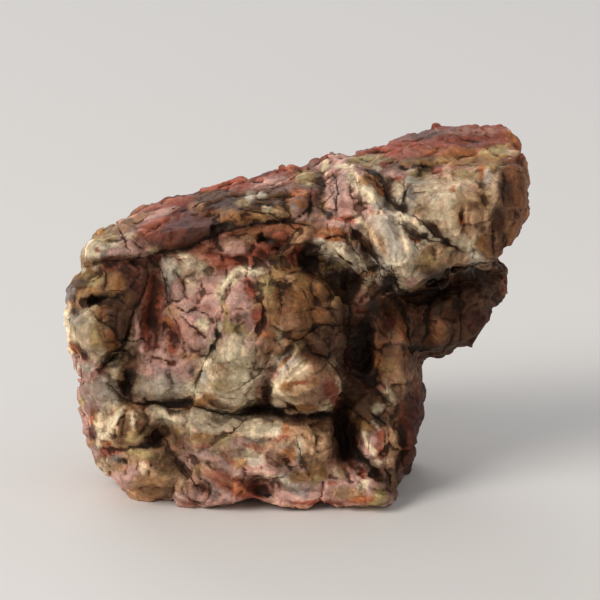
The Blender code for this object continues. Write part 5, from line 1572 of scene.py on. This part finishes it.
    def follow(self, fold: Fold, spots: np.ndarray,
               sight: np.ndarray) -> tuple[np.ndarray, np.ndarray, np.ndarray]:
        """Finds the points that a fold reaches.

        Args:
            fold: The fold.
            spots: Where the points fall on its drawing.
            sight: How well its eye sees them.

        Returns:
            The points' numbers, their gaps to the fold in drawing units, and how full its size is there.
        """
        path = rounded(fold.path)
        reach = fold.width * 5 + self.crack_reach * 1.5
        inside = np.all((spots > path.min(axis=0) - reach) & (spots < path.max(axis=0) + reach), axis=1)
        near = np.flatnonzero(inside & (sight > 0.05))
        gaps, reached = beside(spots[near], path)
        return near, gaps, np.clip(np.sin(np.pi * np.clip(reached, 0, 1)), 0.12, 1.0) ** 0.4

    def cover(self, mark: Leaning, spots: np.ndarray, sight: np.ndarray, edge: Place) -> np.ndarray:
        """Tells how far an oval covers the spots that its eye sees. It thins out over its edge."""
        return (1 - ramp(mark.reach(spots), *edge)) * ramp(sight, *self.in_sight)

    def stain_and_shade(self, skin: Skin, sights: dict[Side, np.ndarray]) -> None:
        """Lays each mineral's share on the skin, and how near each point is to an inked crack.

        Args:
            skin: The carved skin.
            sights: How well each side's eye sees the points.
        """
        scores = np.stack([bias + cloud(skin.points * self.drift_stretch, size, n + 40, 4)
                           for n, (bias, size) in enumerate(DRIFTS.values())], axis=1)
        shares = np.exp(self.drift_gain * scores)
        shares /= shares.sum(axis=1)[:, None]
        starts = (self.far_seam, self.far_gap, 0.0)
        seam, near_gap, ink = (np.full(len(skin.points), start) for start in starts)
        # The places that the front's eye does not see are darkened in clouds as well.
        film = 0.45 * (1 - ramp(sights[Side.FRONT], 0.1, 0.6)) * ramp(cloud(skin.points, 22.0, 77), -0.5, 0.5)
        minerals = list(Mineral)
        for side in reversed(Side):
            sight = sights[side]
            spots = self.stray(skin, side)
            for patch in (p for p in PATCHES if p.side is side):
                cover = patch.strength * self.cover(patch, spots, sight, self.patch_edge)
                shares *= 1 - cover[:, None]
                shares[:, minerals.index(patch.mineral)] += cover
            # The drawn films, of old grime and painted shade.
            for coat in (f for f in GRIME_AND_SHADE_FILMS if f.side is side):
                film = np.maximum(film, coat.amount * self.cover(coat, spots, sight, self.film_edge))
            for fold in (f for f in FOLDS if f.side is side and f.ink):
                near, gaps, taper = self.follow(fold, spots, sight)
                closer = np.abs(gaps) * DRAWN < near_gap[near]
                near, gaps, taper = near[closer], gaps[closer], taper[closer]
                near_gap[near] = np.abs(gaps) * DRAWN
                gaps = gaps / (fold.width * self.seam_share * taper)
                seam[near] = np.clip(gaps, -self.far_seam, self.far_seam)
                ink[near] = fold.ink * ramp(sight[near], 0.1, 0.5)
        for n, mineral in enumerate(minerals):
            skin.keep(mineral.value, shares[:, n])
        for name, values in (("seam", seam), ("near", near_gap), ("ink", ink), ("film", film)):
            skin.keep(name, values)

    def mark_shade_and_highlight(self, skin: Skin, tree: BVHTree) -> None:
        """Marks hollows and crests, and how deep each point is sheltered by the rock round it.

        Args:
            skin: The carved skin.
            tree: The same skin, as rays meet it.
        """
        # The finish turns the hollows and the shelter into painted shade, and the crests into a painted
        # highlight.
        close, wide = (np.sum((skin.spread(skin.points, rounds) - skin.points) * skin.normals, axis=1) / depth
                       for rounds, depth in self.hollows)
        skin.keep("hollow", np.clip(0.5 * close + 0.7 * wide, 0, self.most_mark))
        skin.keep("crest", np.clip(-0.5 * close - 0.6 * wide, 0, self.most_mark))
        turns = [(math.cos(self.ray_turn * n) * r, math.sin(self.ray_turn * n) * r, math.sqrt(1 - r * r))
                 for n, r in enumerate(self.ray_slants)]
        side = np.cross(skin.normals, self.askew)
        side /= np.linalg.norm(side, axis=1)[:, None] + 1e-9
        other = np.cross(skin.normals, side)
        starts = skin.points + skin.normals * self.ray_start
        blocked = np.zeros(len(skin.points))
        for across, down, out in turns:
            rays = side * across + other * down + skin.normals * out
            for n, (start, ray) in enumerate(zip(starts, rays)):
                blocked[n] += tree.ray_cast(start, ray, self.shelter_reach)[0] is not None
        skin.keep("shelter", skin.spread(blocked / len(turns), 3))

    def thin(self, piece: bpy.types.Object, front: np.ndarray) -> None:
        """Drops triangles, most of them away from the front, until the piece is light enough.

        Args:
            piece: The piece.
            front: How well the front's eye sees each point.
        """
        piece.data.calc_loop_triangles()
        count = len(piece.data.loop_triangles)
        group = piece.vertex_groups.new(name="spare")
        levels = np.round(front * self.thin_levels)
        for level in range(self.thin_levels + 1):
            spare = 1 - level / self.thin_levels
            group.add([int(n) for n in np.flatnonzero(levels == level)], spare, "REPLACE")
        fewer = piece.modifiers.new("fewer", "DECIMATE")
        fewer.ratio = min(1.0, self.most_triangles / count)
        fewer.vertex_group = "spare"
        fewer.vertex_group_factor = 0.6
        flatten(piece)
        piece.vertex_groups.clear()
        Skin(piece.data).stand()

    def build(self) -> bpy.types.Object:
        """Builds and dresses the stone.

        Returns:
            The finished piece.
        """
        piece = self.blank()
        log.info("blank: %d points", len(piece.data.vertices))
        skin = Skin(piece.data)
        self.pull(skin)
        sights = self.carve(skin)
        foot = ramp(-skin.normals[:, 2], 0.6, 0.9) * ramp(-skin.points[:, 2], *self.foot_edge)
        skin.keep("calm", np.maximum(self.calm(skin, sights), foot))
        log.info("carved: %d lumps, %d folds", len(BOSSES), len(FOLDS))
        self.relief.lay(piece, self.finish.material())
        skin = Skin(piece.data)
        skin.stand()
        tree = skin.tree()
        sights[Side.FRONT] = np.maximum(sights[Side.FRONT], Drawing(Side.FRONT).sight(skin, tree))
        self.stain_and_shade(skin, sights)
        self.mark_shade_and_highlight(skin, tree)
        log.info("stained: %d patches", len(PATCHES))
        self.thin(piece, sights[Side.FRONT])
        piece.data.shade_smooth()
        log.info("thinned: %d faces", len(piece.data.polygons))
        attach(piece, "root")
        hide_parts(NODE)
        return piece


@dataclass(frozen=True)
class Light:
    """A soft square lamp: where it hangs, how wide it is and how strong, in metres and watts."""

    name: str
    at: tuple[float, float, float]
    width: float
    power: float
    colour: tuple[int, int, int]


@dataclass
class Studio:
    """The floor, the lights and the camera."""

    floor_half: float = 4.0
    floor_colour: tuple[int, int, int] = (226, 220, 213)
    sky_colour: tuple[int, int, int] = (228, 232, 236)
    sky_strength: float = 0.6
    picture_width: float = 150.0
    sensor: float = 36.0
    lights: tuple[Light, ...] = (
        Light("window", (-1.3, -1.2, 1.35), 1.1, 34.0, (252, 250, 248)),
        Light("back_window", (-0.8, 2.2, 1.6), 1.6, 17.0, (238, 244, 255)),
    )

    def floor(self) -> None:
        """Lays the pale floor."""
        half = self.floor_half
        mesh = bpy.data.meshes.new("floor")
        corners = [(-half, -half, 0), (half, -half, 0), (half, half, 0), (-half, half, 0)]
        mesh.from_pydata(corners, [], [(0, 1, 2, 3)])
        material = bpy.data.materials.new("pale_floor")
        material.use_nodes = True
        material.node_tree.nodes.clear()
        bench = Bench(material.node_tree)
        sockets = {"Base Color": linear(*self.floor_colour), "Roughness": 0.9, "Specular IOR Level": 0.1}
        surface = bench.node("ShaderNodeBsdfPrincipled", {}, sockets)
        bench.node("ShaderNodeOutputMaterial", {}, {"Surface": surface["BSDF"]})
        mesh.materials.append(material)
        floor = bpy.data.objects.new("floor", mesh)
        bpy.context.scene.collection.objects.link(floor)

    def light(self) -> None:
        """Hangs the lights and sets the sky."""
        world = bpy.data.worlds.new("soft_sky")
        world.use_nodes = True
        background = world.node_tree.nodes["Background"]
        background.inputs["Color"].default_value = linear(*self.sky_colour)
        background.inputs["Strength"].default_value = self.sky_strength
        bpy.context.scene.world = world
        bpy.context.scene.view_settings.view_transform = "Standard"
        for light in self.lights:
            lamp = bpy.data.lights.new(light.name, "AREA")
            lamp.size, lamp.energy, lamp.color = light.width, light.power, linear(*light.colour)[:3]
            holder = bpy.data.objects.new(light.name, lamp)
            holder.location = light.at
            aim = Vector(LOOK_AT) * MM - Vector(light.at)
            holder.rotation_euler = aim.to_track_quat("-Z", "Y").to_euler()
            bpy.context.scene.collection.objects.link(holder)

    def camera(self) -> None:
        """Sets up the camera at the front drawing's eye."""
        camera = bpy.data.cameras.new("camera")
        camera.sensor_width = self.sensor
        camera.lens = self.sensor * EYE_DISTANCE / self.picture_width
        camera.clip_start = 0.01
        holder = bpy.data.objects.new("camera", camera)
        toward = Vector(Drawing(Side.FRONT).axes()[2])
        holder.location = (Vector(LOOK_AT) + toward * EYE_DISTANCE) * MM
        holder.rotation_euler = (-toward).to_track_quat("-Z", "Y").to_euler()
        bpy.context.scene.collection.objects.link(holder)
        bpy.context.scene.camera = holder


def main() -> None:
    """Builds the stone and the studio."""
    logging.basicConfig(level=logging.INFO, format="%(name)s: %(message)s")
    studio = Studio()
    studio.camera()
    studio.floor()
    studio.light()
    QuartzFlower().build()


if __name__ == "__main__":
    main()
